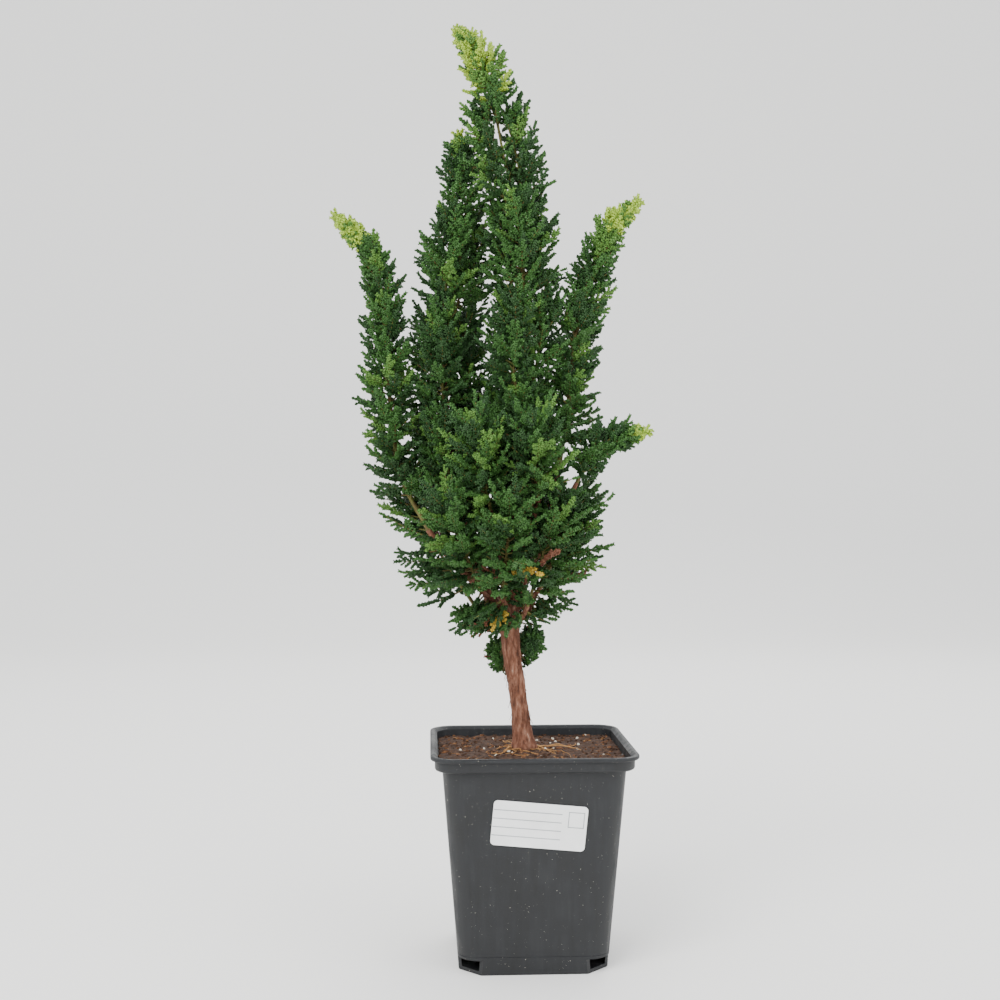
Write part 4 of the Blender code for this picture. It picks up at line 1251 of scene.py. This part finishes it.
def make_shreds(limbs):
    """Loose strips of bark that peel off the trunk below the fork."""
    rng = random.Random(SEED + 5)
    trunk = limbs["trunk"]
    shreds = []
    for _ in range(SHREDS):
        height = rng.uniform(*SHRED_HEIGHTS)
        angle = rng.uniform(0, 2 * math.pi)
        centre, direction, radius = trunk.at(trunk.share_at_height(height))
        out = sideways(direction, angle)
        across = direction.cross(out)
        length = rng.uniform(*SHRED_LENGTHS)
        width = rng.uniform(*SHRED_WIDTHS)
        peel = rng.uniform(*SHRED_PEELS)
        rings = []
        for k in range(SHRED_STEPS + 1):
            share = k / SHRED_STEPS
            # Starts just under the bark and peels away faster towards its end
            middle = (centre + out * (radius * 0.98 + peel * share ** 1.8)
                      - direction * length * share)
            narrow = width * (1 - 0.6 * share)
            rings.append([middle + across * side * narrow / 2 + out * depth * SHRED_THICKNESS
                          for side, depth in ((-1, 0), (1, 0), (1, -1), (-1, -1))])
        shreds.append(rings)
    vertices, faces = lofts(shreds)
    piece = mesh_object("bark_shreds", vertices, faces, MATERIALS["bark"])
    bm = bmesh.new()
    bm.from_mesh(piece.data)
    bmesh.ops.recalc_face_normals(bm, faces=bm.faces)
    bm.to_mesh(piece.data)
    bm.free()
    hand_in(piece, "bark")


def make_roots(tubes):
    """Thin surface roots that leave the trunk's foot and run over the soil."""
    rng = random.Random(SEED + 9)
    paths = []
    for i in range(ROOTS):
        angle = 2 * math.pi * i / ROOTS + rng.uniform(*ROOT_JITTER)
        reach = rng.uniform(*ROOT_REACHES)
        thick = rng.uniform(*ROOT_RADII)
        # Every third root arches off the soil
        arch = ROOT_ARCH if i % 3 == 0 else 0
        path = []
        radii = []
        for k in range(ROOT_STEPS + 1):
            share = k / ROOT_STEPS
            turn = angle + ROOT_WANDER * math.sin(ROOT_WAVE * share + i)
            far = ROOT_START + reach * share
            x = trunk_middle.x + far * math.cos(turn)
            y = trunk_middle.y + far * math.sin(turn)
            z = soil_height(x, y) + thick * 0.6 + arch * math.sin(math.pi * share)
            path.append(Vector((x, y, z)))
            radii.append(thick * (1 - 0.6 * share))
        paths.append((path, radii))
    hand_in(sweep(tubes, "surface_roots", paths, ROOT_SIDES, MATERIALS["fibre"]), "bark")


def make_stage():
    """Pale floor that runs up into a plain pale wall far behind."""
    floor_material, _, shader = new_material("pale_studio_floor", 0.9)
    shader.inputs["Base Color"].default_value = srgb("#f7f5f0")
    profile = [(FLOOR_FRONT, 0.0), (FLOOR_BACK, 0.0)]
    for k in range(1, WALL_TURN_STEPS + 1):
        angle = math.radians(90 * k / WALL_TURN_STEPS)
        profile.append((FLOOR_BACK + WALL_TURN * math.sin(angle), WALL_TURN * (1 - math.cos(angle))))
    profile.append((FLOOR_BACK + WALL_TURN, WALL_TOP))
    vertices = [Vector((side * STAGE_HALF_WIDTH, y, z)) for y, z in profile for side in (-1, 1)]
    faces = [(2 * k, 2 * k + 1, 2 * k + 3, 2 * k + 2) for k in range(len(profile) - 1)]
    mesh_object("studio_sweep", vertices, faces, floor_material)


def make_light():
    """Soft daylight from all round, with one large light at the upper left of the front."""
    world = bpy.data.worlds.new("pale_sky")
    bpy.context.scene.world = world
    world.use_nodes = True
    sky = world.node_tree.nodes["Background"]
    sky.inputs["Color"].default_value = srgb("#eef2f8")
    sky.inputs["Strength"].default_value = SKY_STRENGTH
    for name, (place, power, size) in LAMPS.items():
        light = bpy.data.lights.new(name, "AREA")
        light.energy = power
        light.size = size
        lamp = bpy.data.objects.new(name, light)
        lamp.location = place
        aim = LIGHT_AIM - Vector(place)
        lamp.rotation_euler = aim.to_track_quat("-Z", "Y").to_euler()
        bpy.context.scene.collection.objects.link(lamp)


def make_camera():
    """The photograph's view: level, a little left of the pot, turned slightly to the right."""
    camera = bpy.data.cameras.new("camera")
    camera.lens = CAMERA_LENS
    camera.sensor_width = SENSOR_WIDTH
    camera.sensor_fit = "HORIZONTAL"
    holder = bpy.data.objects.new("camera", camera)
    holder.location = CAMERA_PLACE
    holder.rotation_euler = Euler((math.pi / 2, 0, CAMERA_YAW))
    bpy.context.scene.collection.objects.link(holder)
    bpy.context.scene.camera = holder


make_camera()
make_stage()
make_light()
limbs = make_limbs()
trunk_middle = limbs["trunk"].at(0)[0]
make_pot()
make_label()
make_crumbs(make_soil())
make_wood(limbs)
make_shreds(limbs)
tubes = twig_tree()
make_roots(tubes)
make_foliage(limbs, tubes)
